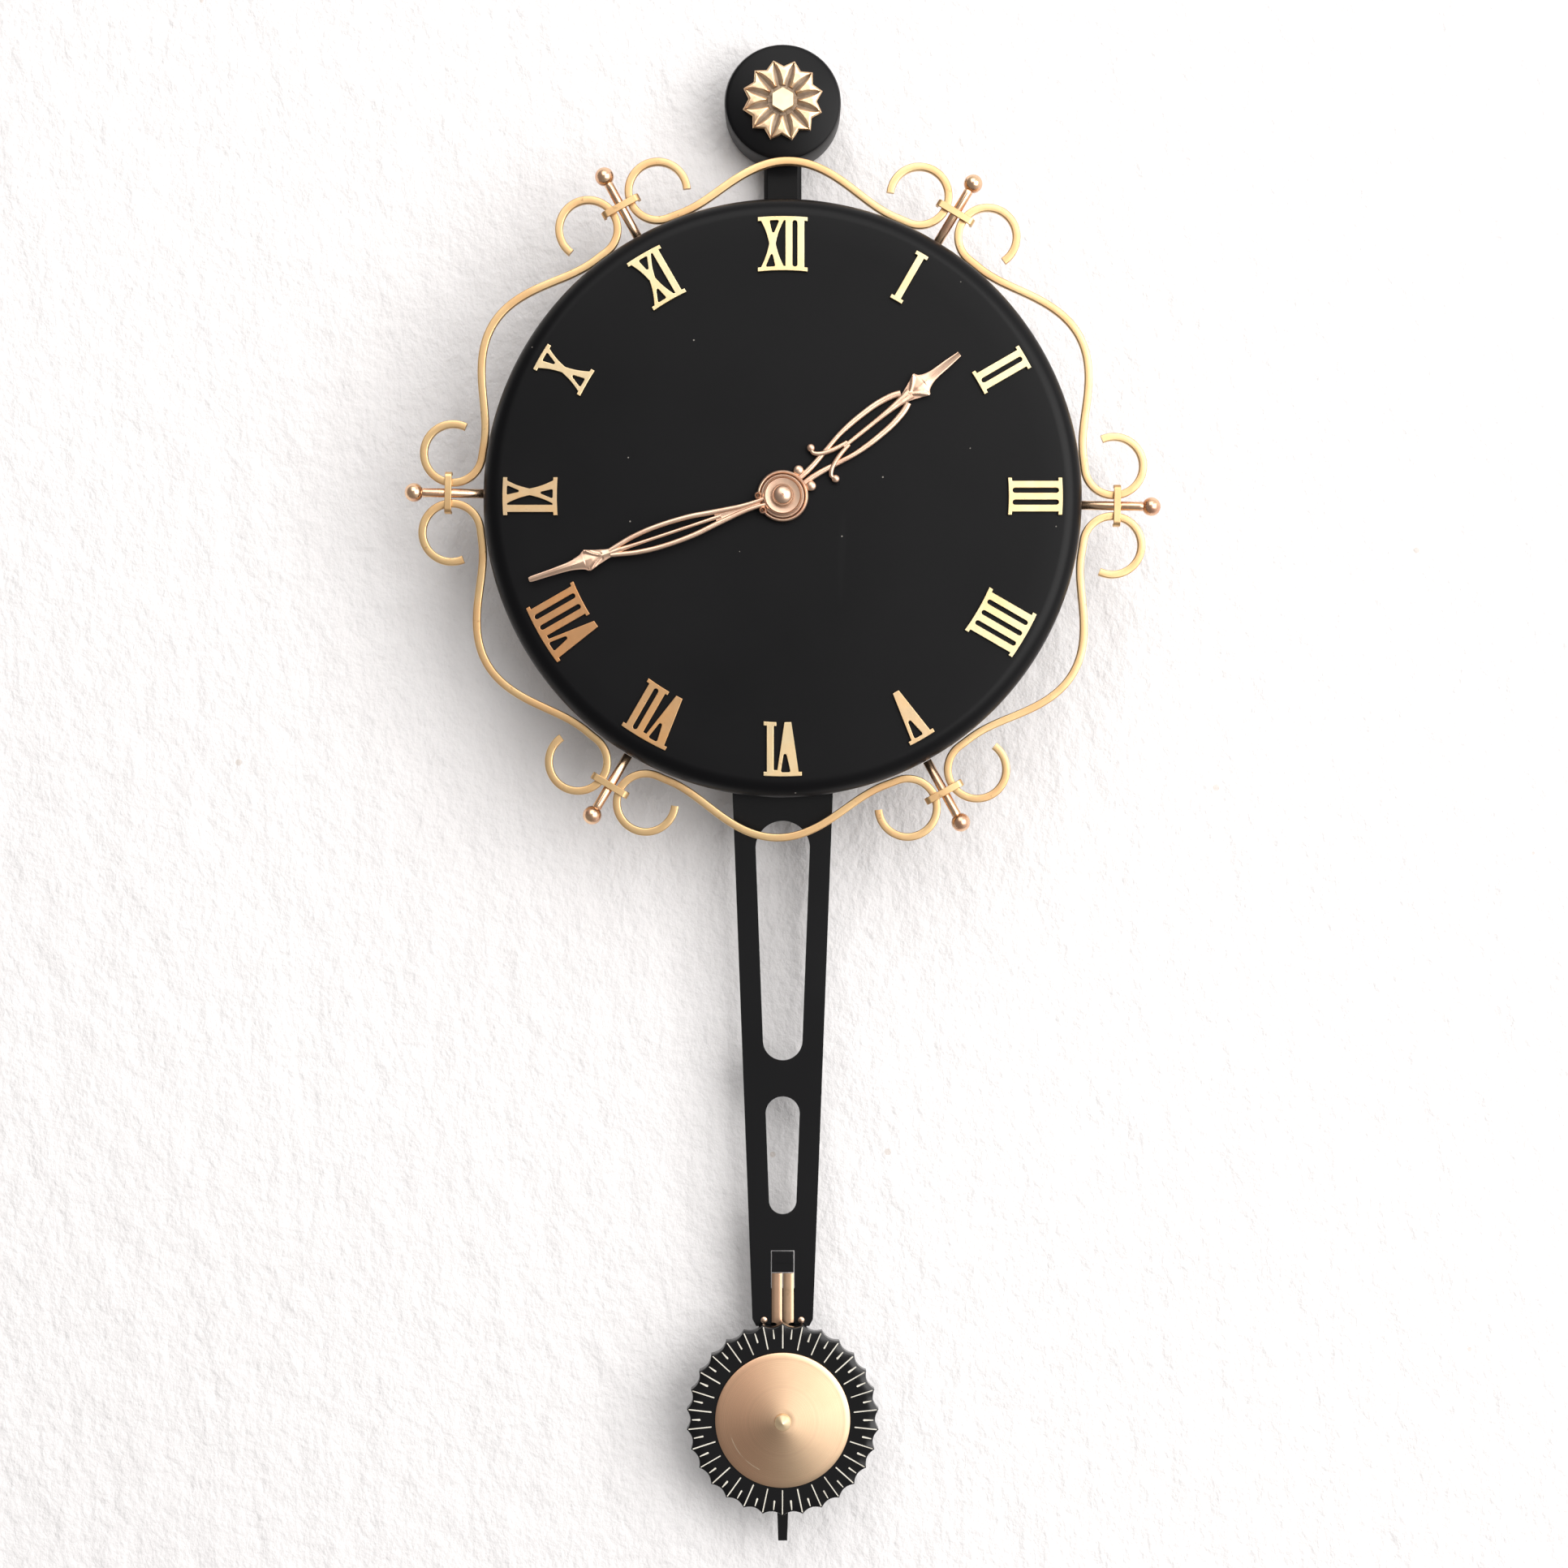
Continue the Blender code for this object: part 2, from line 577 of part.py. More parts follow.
def make_strap():
    side = NECK_WIDTH / 2
    top = BOLT_RADIUS + GAP + STRAP_ABOVE_BOLT
    foot = HOUSING_TOP_Z - YOKE_HEIGHT
    half = [
        (side - STRAP_CORNER, top),
        (side, top - STRAP_CORNER),
        (side, HOUSING_TOP_Z + side),
        (YOKE_HALF_WIDTH, HOUSING_TOP_Z),
        (YOKE_HALF_WIDTH, foot),
    ]
    strap = plate(both_sides(half), STRAP_BACK, STRAP_FRONT)
    strap = add("frame_strap", strap, "black_lacquer")
    bevel(strap, STRAP_EDGE)
    ends = (STRAP_BACK - GAP, STRAP_FRONT + GAP)
    cut(strap, rod(BOLT_RADIUS + GAP, *ends, 24))
    cut(strap, rod(PIN_RADIUS + GAP, *ends, 24, (0, PIN_Z)))


# Dial
def make_dial_pan():
    outer = DIAL_RADIUS
    inner = DIAL_RADIUS - DIAL_WALL
    bore = PIPE_RADIUS + DIAL_BORE_ROOM
    corner = (outer - DIAL_EDGE_RADIUS, DIAL_FRONT - DIAL_EDGE_RADIUS)
    inside = DIAL_EDGE_RADIUS - DIAL_WALL
    profile = [(bore, DIAL_FRONT)]
    profile += arc(corner, DIAL_EDGE_RADIUS, 0, 90, 3)
    profile += [(outer, DIAL_BACK), (inner, DIAL_BACK)]
    profile += arc(corner, inside, 90, 0, 2)
    profile += [(bore, DIAL_FRONT - DIAL_WALL)]
    add("dial_pan", turned(profile, 60, hollow=True, centre=(0, DIAL_Z)), "black_lacquer", smooth=True)


def letter_spans(word):
    """Each letter's left and right edge, with the whole word centred."""
    widths = {"I": NUMERAL_STEM, "V": NUMERAL_V_WIDTH, "X": NUMERAL_X_WIDTH}
    gaps = {"II": NUMERAL_SLOT, "VI": NUMERAL_V_GAP, "XI": NUMERAL_X_GAP, "IX": NUMERAL_X_GAP}
    spans = []
    place = 0
    for i, letter in enumerate(word):
        place += gaps[word[i - 1:i + 1]] if i else 0
        spans.append((letter, place, place + widths[letter]))
        place += widths[letter]
    return [(letter, left - place / 2, right - place / 2) for letter, left, right in spans]


def bar_edge(start, end, height, steps=3):
    return [(start + (end - start) * i / steps, height) for i in range(steps + 1)]


def v_edges(left, right, height):
    """The V's left and right edge at a height."""
    low = -NUMERAL_HEIGHT / 2
    high = NUMERAL_HEIGHT / 2 - NUMERAL_BAR
    share = (height - low) / (high - low)
    middle = (left + right) / 2
    foot = NUMERAL_STEM / 2
    return middle - foot + (left - middle + foot) * share, middle + foot + (right - middle - foot) * share


def numeral_outline(spans):
    """The outer edge, clockwise from the top left."""
    top = NUMERAL_HEIGHT / 2
    inside = top - NUMERAL_BAR
    first, left, first_right = spans[0]
    last, last_left, right = spans[-1]
    waist = NUMERAL_WAIST / 2
    outline = bar_edge(left - NUMERAL_SERIF, right + NUMERAL_SERIF, top)
    outline += [(right + NUMERAL_SERIF, inside), (right, inside)]
    if last == "X":
        outline.append(((last_left + right) / 2 + waist, 0))
    if last != "V":
        outline += [(right, -inside), (right + NUMERAL_SERIF, -inside)]
        foot_left = left if first != "V" else spans[1][1]
        serif = NUMERAL_SERIF if first != "V" else NUMERAL_SERIF * 0.8
        outline += bar_edge(right + NUMERAL_SERIF, foot_left - serif, -top)
        outline += [(foot_left - serif, -inside), (foot_left, -inside)]
    if first == "X":
        outline.append(((left + first_right) / 2 - waist, 0))
    if first == "V":
        slit_top = inside - NUMERAL_V_SLIT
        if last != "V":
            outline += [(spans[1][1], slit_top), (v_edges(left, first_right, slit_top)[1], slit_top)]
        outline += [(edge, -top) for edge in reversed(v_edges(left, first_right, -top))]
    outline += [(left, inside), (left - NUMERAL_SERIF, inside)]
    return outline


def x_windows(left, right):
    """The X's upper and lower windows, between its broad and its thin stroke."""
    inside = NUMERAL_HEIGHT / 2 - NUMERAL_BAR
    middle = (left + right) / 2
    broad = left + NUMERAL_STEM * 1.2
    aside, rise = NUMERAL_X_POINT
    upper = [(broad, inside), (right - NUMERAL_HAIRLINE * 1.2, inside), (middle + aside, rise)]
    lower = [(-x + 2 * middle, -z) for x, z in upper]
    return [rounded(upper, NUMERAL_X_ROUND), rounded(lower, NUMERAL_X_ROUND)]


def numeral_windows(spans):
    inside = NUMERAL_HEIGHT / 2 - NUMERAL_BAR
    windows = []
    for letter, left, right in spans:
        if letter == "X":
            windows += x_windows(left, right)
        if letter == "V":
            corners = [(left + NUMERAL_STEM * 1.15, inside), (right - NUMERAL_HAIRLINE, inside)]
            aside, drop = NUMERAL_V_POINT
            foot = (v_edges(left, right, 0)[1] - NUMERAL_HAIRLINE - aside, -drop)
            windows.append(rounded([*corners, foot], NUMERAL_V_ROUND))
    for (letter, left, edge), (following, next_edge, right) in zip(spans, spans[1:]):
        pair = letter + following
        if pair == "II":
            middle, radius = (edge + next_edge) / 2, NUMERAL_SLOT / 2
            slot = tapered_slot(inside, -inside, radius, radius, 3)
            windows.append([(middle + x, z) for x, z in slot])
        if pair in ("XI", "IX"):
            stem, x_edge = (next_edge, edge) if pair == "XI" else (edge, next_edge)
            x_middle = (left + edge) / 2 if pair == "XI" else (next_edge + right) / 2
            waist = x_middle + math.copysign(NUMERAL_WAIST / 2, stem - x_middle)
            reach = inside - 0.1 * MM
            windows.append([(stem, reach), (x_edge, reach), (waist, 0), (x_edge, -reach), (stem, -reach)])
    return windows


def bent(points, radius):
    """Carries straight bars onto circles round the dial's middle."""
    return [(x, math.sqrt((radius + z) ** 2 - x ** 2) - radius) for x, z in points]


def make_numerals():
    radius = DIAL_RADIUS - NUMERAL_MARGIN
    back = DIAL_FRONT + GAP
    for i, word in enumerate(NUMERALS):
        spans = letter_spans(word)
        centre = polar(30 * i, radius, (0, DIAL_Z))
        loops = [numeral_outline(spans), *numeral_windows(spans)]
        loops = [turned_to(bent(loop, radius), 30 * i, centre) for loop in loops]
        shape = plate(loops[0], back, back + NUMERAL_THICKNESS, loops[1:])
        add(f"numeral_{i or 12:02d}", shape, "numeral_brass")


# Scroll ring
def scroll_half():
    """Half of one wire, from the open end of its curl to the crest, with a finial at angle 0."""
    middle_angle = math.degrees(math.asin(CURL_OFFSET / CURL_CENTRE))
    centre = polar(middle_angle, CURL_CENTRE)
    end = 180 + middle_angle
    path = arc(centre, CURL_RADIUS, end + CURL_SWEEP, end, 14)
    half_turn = 180 / RING_COUNT
    rest = math.degrees(WIRE_REST / WIRE_RADIUS)
    leave = middle_angle + rest
    path += [polar(middle_angle + rest / 2, WIRE_RADIUS), polar(leave, WIRE_RADIUS)]
    steps = 6
    for i in range(1, steps + 1):
        share = i / steps
        angle = leave + (half_turn - leave) * share
        path.append(polar(angle, WIRE_RADIUS + WIRE_CREST * (1 - math.cos(math.pi * share)) / 2))
    return path


def make_scroll_ring():
    half = scroll_half()
    sector = 360 / RING_COUNT
    first = -sector / 2 + RING_TURN
    back = RING_DEPTH - WIRE_WIDTH / 2
    front = RING_DEPTH + WIRE_WIDTH / 2
    mirrored = turned_to([(-x, z) for x, z in reversed(half)], sector, (0, 0))
    whole = half + mirrored[1:]
    for i in range(RING_COUNT):
        path = turned_to(whole, first + sector * i, (0, DIAL_Z))
        add(f"scroll_wire_{i + 1}", wire(path, WIRE_WIDTH, back, front), "wire_brass")
        make_finial(i, first + sector * i)


def make_finial(i, angle):
    start = DIAL_RADIUS + GAP
    middle = DIAL_RADIUS + ROD_LENGTH
    ball = [(middle - BALL_RADIUS * math.cos(a), BALL_RADIUS * math.sin(a))
            for a in (math.radians(30 + 30 * k) for k in range(6))]
    profile = [(0, start), (ROD_RADIUS, start)]
    profile += [(radius, along) for along, radius in ball[:-1]]
    profile += [(0, middle + BALL_RADIUS)]
    shape = turned(profile, 12)
    stand = Matrix.Rotation(math.radians(angle), 4, "Y") @ Matrix.Rotation(math.radians(-90), 4, "X")
    place = Matrix.Translation((0, -RING_DEPTH, DIAL_Z)) @ stand
    bmesh.ops.transform(shape, matrix=place, verts=shape.verts)
    add(f"finial_{i + 1}", shape, "wire_brass", smooth=True)
    make_clasp(i, place)


def make_clasp(i, place):
    """A flat strap across the front of both curls and the rod, bent back round the wires."""
    reach = ROD_RADIUS + ROD_CLEARANCE + WIRE_WIDTH + CLASP_PLAY + CLASP_THICKNESS
    front = max(ROD_RADIUS, WIRE_WIDTH / 2) + GAP + CLASP_THICKNESS
    tip = -WIRE_WIDTH / 2
    slope = CLASP_THICKNESS
    half = [
        (0, front),
        (reach - slope, front),
        (reach, front - slope),
        (reach, tip),
        (reach - CLASP_THICKNESS, tip),
        (reach - CLASP_THICKNESS, front - slope * 1.4),
        (reach - slope * 1.4, front - CLASP_THICKNESS),
        (0, front - CLASP_THICKNESS),
    ]
    outline = half + [(-x, z) for x, z in reversed(half[1:-1])]
    middle = CURL_CENTRE + CLASP_RISE
    shape = plate(outline, middle - CLASP_WIDTH / 2, middle + CLASP_WIDTH / 2)
    bmesh.ops.transform(shape, matrix=place @ Matrix.Rotation(math.pi, 4, "Y"), verts=shape.verts)
    add(f"clasp_{i + 1}", shape, "wire_brass")


# Hands, drawn pointing up from the dial's middle
def on_dial(points, angle):
    return turned_to(points, angle, (0, DIAL_Z))


def strand(points, width, back, front, angle):
    return wire(on_dial(points, angle), width, back, front)


def along_hand(length, points):
    """Points on a hand: millimetres from its middle line, and per cent of the way out to its tip."""
    return [(x * MM, length * share / 100) for x, share in points]


def make_hour_hand():
    back = HOUR_HAND_BACK
    front = back + HAND_THICKNESS
    angle = HOUR_ANGLE
    edge = along_hand(HOUR_LENGTH, [
        (0.9, 100), (1.4, 92.8), (1.7, 85.9), (2.4, 82.3), (4.85, 78.5),
        (2.6, 71.5), (3.6, 68.9), (5.2, 62.9), (6.1, 55.7), (6.2, 49.8),
        (5.6, 41.4), (4.9, 35.4), (4.0, 29.4), (3.5, 22.2), (2.7, 15.1),
    ])
    edge.append((2.2 * MM, HOUR_HUB_RADIUS * 0.9))
    window = along_hand(HOUR_LENGTH, [
        (1.1, 64.7), (2.6, 61.7), (3.7, 55.7), (4.0, 48.6), (3.7, 42.6), (2.6, 35.4),
        (1.0, 43.8), (0.8, 52.2), (1.0, 59.3),
    ])
    neck = along_hand(HOUR_LENGTH, [(0, 27), (1.1, 22.2), (0.6, 16.3), (0, 13.9)])
    holes = [on_dial(window, angle), on_dial([(-x, z) for x, z in window], angle)]
    holes.append(on_dial(both_sides(neck), angle))
    hand = plate(on_dial(both_sides(edge), angle), back, front, holes)
    hand = add("hour_hand", hand, "rose_brass", "hour_hand")
    hub_back = back - RELIEF / 3
    tools = [washer(PIPE_RADIUS + GAP, HOUR_HUB_RADIUS, hub_back, front + RELIEF, 32, (0, DIAL_Z))]
    for side in (-1, 1):
        ball = (side * BALL_ASIDE, HOUR_HUB_RADIUS + BALL_BEYOND_HUB)
        ball = on_dial(circle(ball, BALL_SIZE, 14), angle)
        tip = along_hand(HOUR_LENGTH, [(side * 7.3, 23)])[0]
        horn = along_hand(HOUR_LENGTH, [(7.0, 22.4), (4.6, 23.9), (3.0, 27.6), (1.9, 31.8), (1.0, 35.4)])
        horn = [(side * x, z) for x, z in horn]
        tip = on_dial(circle(tip, HORN_TIP_SIZE, 12), angle)
        tools.append(plate(ball, back + RELIEF / 2, front + RELIEF * 1.5))
        tools.append(plate(tip, back + RELIEF / 3, front + RELIEF * 1.3))
        tools.append(strand(horn, HORN_WIDTH, back + RELIEF / 4, front + RELIEF * 0.8, angle))
    unite(hand, *tools)
    cut(hand, rod(PIPE_RADIUS + GAP, back - MM, front + MM, 24, (0, DIAL_Z)))


def make_minute_hand():
    back = MINUTE_HAND_BACK
    front = back + HAND_THICKNESS
    angle = MINUTE_ANGLE
    edge = along_hand(MINUTE_LENGTH, [
        (0.8, 100), (1.1, 98.4), (1.2, 92.2), (1.5, 85.3), (2.6, 80.1), (3.9, 77),
        (1.7, 68.7), (2.9, 63.4), (4.0, 57.3), (4.7, 50.2), (4.8, 45.1), (4.6, 39),
        (4.0, 32.9), (3.1, 25.8), (2.0, 17.7), (1.5, 10.6),
    ])
    edge.append((1.3 * MM, MINUTE_HUB_RADIUS * 0.9))
    window = along_hand(MINUTE_LENGTH, [
        (0.7, 63.7), (1.2, 63.7), (2.3, 56.3), (2.9, 49.2),
        (2.9, 42.1), (2.4, 33.9), (1.6, 26.4), (0.7, 26.4),
    ])
    holes = [on_dial(window, angle), on_dial([(-x, z) for x, z in window], angle)]
    hand = plate(on_dial(both_sides(edge), angle), back, front, holes)
    hand = add("minute_hand", hand, "rose_brass", "minute_hand")
    centre = (0, DIAL_Z)
    bore = ARBOR_RADIUS + GAP
    hub_back = back - RELIEF / 3
    tools = [washer(bore, MINUTE_HUB_RADIUS, hub_back, front + RELIEF / 2, 32, centre)]
    for side in (-1, 1):
        scroll = (side * SCROLL_ASIDE, MINUTE_HUB_RADIUS + SCROLL_BEYOND_HUB)
        scroll = circle(scroll, SCROLL_SIZE, 12)
        tools.append(plate(on_dial(scroll, angle), back + RELIEF / 2, front + RELIEF))
    unite(hand, *tools)
    cut(hand, rod(bore, back - MM, front + MM, 24, centre))


def make_hand_nut():
    centre = (0, DIAL_Z)
    bore = ARBOR_RADIUS + GAP
    top = NUT_BACK + HAND_NUT_HEIGHT
    bore_end = NUT_BACK + ARBOR_IN_NUT + GAP
    profile = [
        (0, top),
        (HAND_NUT_RADIUS * 0.44, top - HAND_NUT_DOME * 0.14),
        (HAND_NUT_RADIUS * 0.85, top - HAND_NUT_DOME * 0.64),
        (HAND_NUT_RADIUS, top - HAND_NUT_DOME),
        (HAND_NUT_RADIUS, NUT_BACK),
        (bore, NUT_BACK),
        (bore, bore_end),
        (0, bore_end),
    ]
    add("hand_nut", turned(profile, 24, centre=centre), "rose_brass", "minute_hand", smooth=True)


# Motion work
def gear_outline(teeth, module, centre, start):
    """Slim straight-sided teeth with room at tip and root. One tooth points along the start angle."""
    pitch = 360 / teeth
    pitch_radius = module * teeth / 2
    tip = pitch_radius + 0.75 * module
    root = pitch_radius - 1.05 * module
    outline = []
    for i in range(teeth):
        middle = start + pitch * i
        for share, radius in ((-0.31, root), (-0.10, tip), (0.10, tip), (0.31, root)):
            outline.append(polar(middle + pitch * share, radius, centre))
    return outline


def make_centre_arbor():
    centre = (0, DIAL_Z)
    module = 2 * GEAR_DISTANCE / (CANNON_TEETH + MINUTE_WHEEL_TEETH)
    back = CAVITY_FLOOR + ARBOR_STANDOFF
    shape = rod(ARBOR_RADIUS, back, NUT_BACK + ARBOR_IN_NUT, 24, centre)
    arbor = add("centre_arbor", shape, "steel", "minute_hand")
    teeth = gear_outline(CANNON_TEETH, module, centre, 90)
    unite(arbor, plate(teeth, CANNON_BACK, CANNON_BACK + PINION_LENGTH))


def make_minute_wheel():
    centre = (GEAR_DISTANCE, DIAL_Z)
    module = 2 * GEAR_DISTANCE / (CANNON_TEETH + MINUTE_WHEEL_TEETH)
    pinion_module = 2 * GEAR_DISTANCE / (MINUTE_PINION_TEETH + HOUR_WHEEL_TEETH)
    wheel_back = MINUTE_WHEEL_BACK
    wheel_front = wheel_back + WHEEL_THICKNESS
    pinion_front = HOUR_WHEEL_BACK + WHEEL_THICKNESS + PINION_OVERHANG
    teeth = gear_outline(MINUTE_WHEEL_TEETH, module, centre, 90 + 180 / MINUTE_WHEEL_TEETH)
    wheel = add("minute_wheel", plate(teeth, wheel_back, wheel_front), "wire_brass", "minute_wheel")
    leaves = gear_outline(MINUTE_PINION_TEETH, pinion_module, centre, -90)
    unite(wheel, plate(leaves, wheel_front - SEAT / 2, pinion_front))
    knob_end = HOUSING_BACK - GAP - KNOB_LENGTH + KNOB_CAP
    unite(wheel, rod(MINUTE_ARBOR_RADIUS, knob_end, wheel_back + SEAT, 20, centre))


def make_hour_wheel():
    centre = (0, DIAL_Z)
    module = 2 * GEAR_DISTANCE / (MINUTE_PINION_TEETH + HOUR_WHEEL_TEETH)
    teeth = gear_outline(HOUR_WHEEL_TEETH, module, centre, 90 + 180 / HOUR_WHEEL_TEETH)
    hub = circle(centre, PIPE_BORE + PIPE_WALL / 2, 24)
    web = plate(teeth, HOUR_WHEEL_BACK, HOUR_WHEEL_BACK + WHEEL_THICKNESS, [hub])
    wheel = add("hour_wheel", web, "wire_brass", "hour_hand")
    pipe_front = HOUR_HAND_BACK + HAND_THICKNESS - GAP
    unite(wheel, washer(PIPE_BORE, PIPE_RADIUS, HOUR_WHEEL_BACK - SEAT, pipe_front, 24, centre))


def make_setting_knob():
    centre = (GEAR_DISTANCE, DIAL_Z)
    front = HOUSING_BACK - GAP
    back = front - KNOB_LENGTH
    rim = [polar(180 * i / KNOB_RIDGES, KNOB_RADIUS - KNOB_RIDGE_DEPTH * (i % 2), centre)
           for i in range(2 * KNOB_RIDGES)]
    knob = add("setting_knob", plate(rim, back, front), "steel", "minute_wheel")
    cut(knob, rod(MINUTE_ARBOR_RADIUS + GAP, back + KNOB_CAP - GAP, front + MM, 20, centre))


# Movement
def make_housing():
    side = HOUSING_HALF_WIDTH
    top = HOUSING_TOP_Z
    bottom = HOUSING_BOTTOM_Z
    wall = HOUSING_WALL
    shape = block(-side, side, bottom, top, HOUSING_BACK, HOUSING_FRONT)
    housing = add("movement_housing", shape, "black_plastic")
    for edge in (-side, side - FOOT_WIDTH):
        unite(housing, block(edge, edge + FOOT_WIDTH, bottom, bottom + FOOT_WIDTH, 0, HOUSING_BACK + MM))
    open_front = HOUSING_FRONT + MM
    open_back = HOUSING_BACK - MM
    pocket_left = BATTERY_X - BATTERY_RADIUS - BATTERY_ROOM
    pocket_right = BATTERY_X + BATTERY_RADIUS + BATTERY_ROOM
    pocket_floor = HOUSING_BACK + 2 * (BATTERY_RADIUS + BATTERY_ROOM)
    shoulder = PIN_Z - PIN_RADIUS - 3 * wall
    centre = (0, PIN_Z)
    arbor = (GEAR_DISTANCE, DIAL_Z)
    well_left = GEAR_DISTANCE + MINUTE_ARBOR_RADIUS + 2 * wall
    well_bottom = bottom + FOOT_WIDTH
    well_front = HOUSING_FRONT - wall
    low, high = battery_ends()
    cut(
        housing,
        block(-CHANNEL_HALF_WIDTH, CHANNEL_HALF_WIDTH, bottom - MM, top + MM, open_back, CHANNEL_FLOOR),
        block(pocket_right + wall, side - wall, bottom + wall, shoulder, CAVITY_FLOOR, open_front),
        block(well_left, side - wall, well_bottom, shoulder, HOUSING_BACK + wall, well_front),
        block(pocket_left, pocket_right, low - GAP, high + GAP, open_back, pocket_floor),
        rod(PIN_RADIUS + GAP, CHANNEL_FLOOR - MM, well_front, 24, centre),
        rod(MINUTE_ARBOR_RADIUS + RUNNING_GAP, open_back, CAVITY_FLOOR + MM, 20, arbor),
    )


def make_front_plate():
    side = HOUSING_HALF_WIDTH
    top = HOUSING_TOP_Z
    bottom = HOUSING_BOTTOM_Z
    holes = [
        circle((0, DIAL_Z), ARBOR_RADIUS + RUNNING_GAP, 24),
        circle((GEAR_DISTANCE, DIAL_Z), MINUTE_ARBOR_RADIUS + RUNNING_GAP, 20),
    ]
    shape = plate(rectangle(-side, side, bottom, top), PLATE_BACK, PLATE_FRONT, holes)
    cover = add("movement_front_plate", shape, "black_plastic")
    inset = 2 * PILLAR_RADIUS
    pillar_front = DIAL_FRONT - DIAL_WALL - GAP
    for x in (-side + inset, side - inset):
        for z in (bottom + inset, top - inset):
            unite(cover, rod(PILLAR_RADIUS, PLATE_BACK + MM, pillar_front, 16, (x, z)))


def battery_ends():
    """The heights between which the battery and its contact spring lie."""
    half = BATTERY_LENGTH / 2
    return DIAL_Z - half - GAP - SPRING_HEIGHT, DIAL_Z + half


def make_battery():
    half = BATTERY_LENGTH / 2
    depth = HOUSING_BACK + BATTERY_RADIUS + BATTERY_ROOM
    shoulder = half - BATTERY_NUB
    profile = [
        (0, half),
        (BATTERY_NUB_RADIUS, half),
        (BATTERY_NUB_RADIUS, shoulder),
        (BATTERY_RADIUS - BATTERY_ROUND, shoulder),
        (BATTERY_RADIUS, shoulder - BATTERY_ROUND),
        (BATTERY_RADIUS, -half + BATTERY_ROUND),
        (BATTERY_RADIUS - BATTERY_ROUND, -half),
        (0, -half),
    ]
    shape = turned(profile, 20)
    upright = Matrix.Translation((BATTERY_X, -depth, DIAL_Z)) @ Matrix.Rotation(math.radians(-90), 4, "X")
    bmesh.ops.transform(shape, matrix=upright, verts=shape.verts)
    add("battery", shape, "battery_sleeve", smooth=True)
    make_contact_spring(battery_ends()[0], depth)


def make_contact_spring(low, depth):
    """A cone of wire that presses the battery up against the end of its pocket."""
    turns, steps = 2.5, 9
    curve = bpy.data.curves.new("battery_contact_minus", "CURVE")
    curve.dimensions = "3D"
    curve.bevel_depth = SPRING_WIRE_RADIUS
    curve.bevel_resolution = 1
    curve.use_fill_caps = True
    line = curve.splines.new("POLY")
    count = int(turns * steps) + 1
    line.points.add(count - 1)
    rise = SPRING_HEIGHT - 2 * SPRING_WIRE_RADIUS
    for i, point in enumerate(line.points):
        share = i / (count - 1)
        radius = SPRING_START_RADIUS + (SPRING_END_RADIUS - SPRING_START_RADIUS) * share
        x, y = polar(360 * turns * share, radius, (BATTERY_X, -depth))
        point.co = (x, y, low + SPRING_WIRE_RADIUS + rise * share, 1)
    curve.materials.append(bpy.data.materials["steel"])
    spring = bpy.data.objects.new("battery_contact_minus", curve)
    bpy.context.scene.collection.objects.link(spring)
    spring.parent = BODIES["case"]


def make_drive():
    coil_back = CAVITY_FLOOR + GAP
    coil_front = coil_back + COIL_THICKNESS
    coil = washer(COIL_RADIUS * 0.4, COIL_RADIUS, coil_back, coil_front, 24, (0, DIAL_Z - COIL_DROP))
    add("drive_coil", coil, "copper_coil", smooth=True)
    motor_front = HOUSING_FRONT - HOUSING_WALL
    left = ARBOR_RADIUS + MOTOR_ASIDE
    top = DIAL_Z - MOTOR_DROP
    motor = block(left, left + MOTOR_WIDTH, top - MOTOR_HEIGHT, top, coil_back, motor_front)
    add("step_motor", motor, "black_plastic")


def make_suspension_pin():
    centre = (0, PIN_Z)
    front = HOUSING_FRONT - HOUSING_WALL - GAP
    add("suspension_pin", rod(PIN_RADIUS, STRAP_BACK + GAP, front, 24, centre), "steel", smooth=True)


# Pendulum
def arm_half_width(height):
    share = (RIM_Z - height) / ARM_VISIBLE
    return ARM_TOP_HALF_WIDTH + (ARM_END_HALF_WIDTH - ARM_TOP_HALF_WIDTH) * share


def arm_outline():
    taper_top = RIM_Z + ARM_HIDDEN
    shoulder_top = taper_top + ARM_SHOULDER
    meet = math.degrees(math.asin(ROD_HALF_WIDTH / EYE_RADIUS))
    half = arc((0, PIN_Z), EYE_RADIUS, 0, 180 - meet, 8)
    half += [
        (ROD_HALF_WIDTH, shoulder_top),
        (arm_half_width(taper_top), taper_top),
        (arm_half_width(ARM_END_Z + ARM_CORNER), ARM_END_Z + ARM_CORNER),
        (ARM_END_HALF_WIDTH - ARM_CORNER / 2, ARM_END_Z),
        (WINDOW_WIDTH / 2, ARM_END_Z),
        (WINDOW_WIDTH / 2, ARM_END_Z + WINDOW_LENGTH),
    ]
    return both_sides(half)


def arm_pocket():
    """The hollow behind the sheet, between the flanged edges."""
    taper_top = RIM_Z + ARM_HIDDEN
    below = ARM_END_Z - MM
    half = [
        (arm_half_width(taper_top) - ARM_FLANGE, taper_top - ARM_FLANGE),
        (arm_half_width(below) - ARM_FLANGE, below),
    ]
    return both_sides(half)


def arm_slot(top, bottom):
    """A slot that leaves a rail of equal width on both sides of the tapering arm."""
    slope = (ARM_TOP_HALF_WIDTH - ARM_END_HALF_WIDTH) / ARM_VISIBLE
    top_radius = (arm_half_width(top) - ARM_RAIL) / (1 + slope)
    bottom_radius = (arm_half_width(bottom) - ARM_RAIL) / (1 - slope)
    return tapered_slot(top, bottom, top_radius, bottom_radius)


def arm_slots():
    """The long slot and the short one, with a bridge below each. The window comes next."""
    short_bottom = ARM_END_Z + WINDOW_LENGTH + ARM_BRIDGE
    short_top = short_bottom + SHORT_SLOT_LENGTH
    return [arm_slot(RIM_Z - LONG_SLOT_DROP, short_top + ARM_BRIDGE), arm_slot(short_top, short_bottom)]


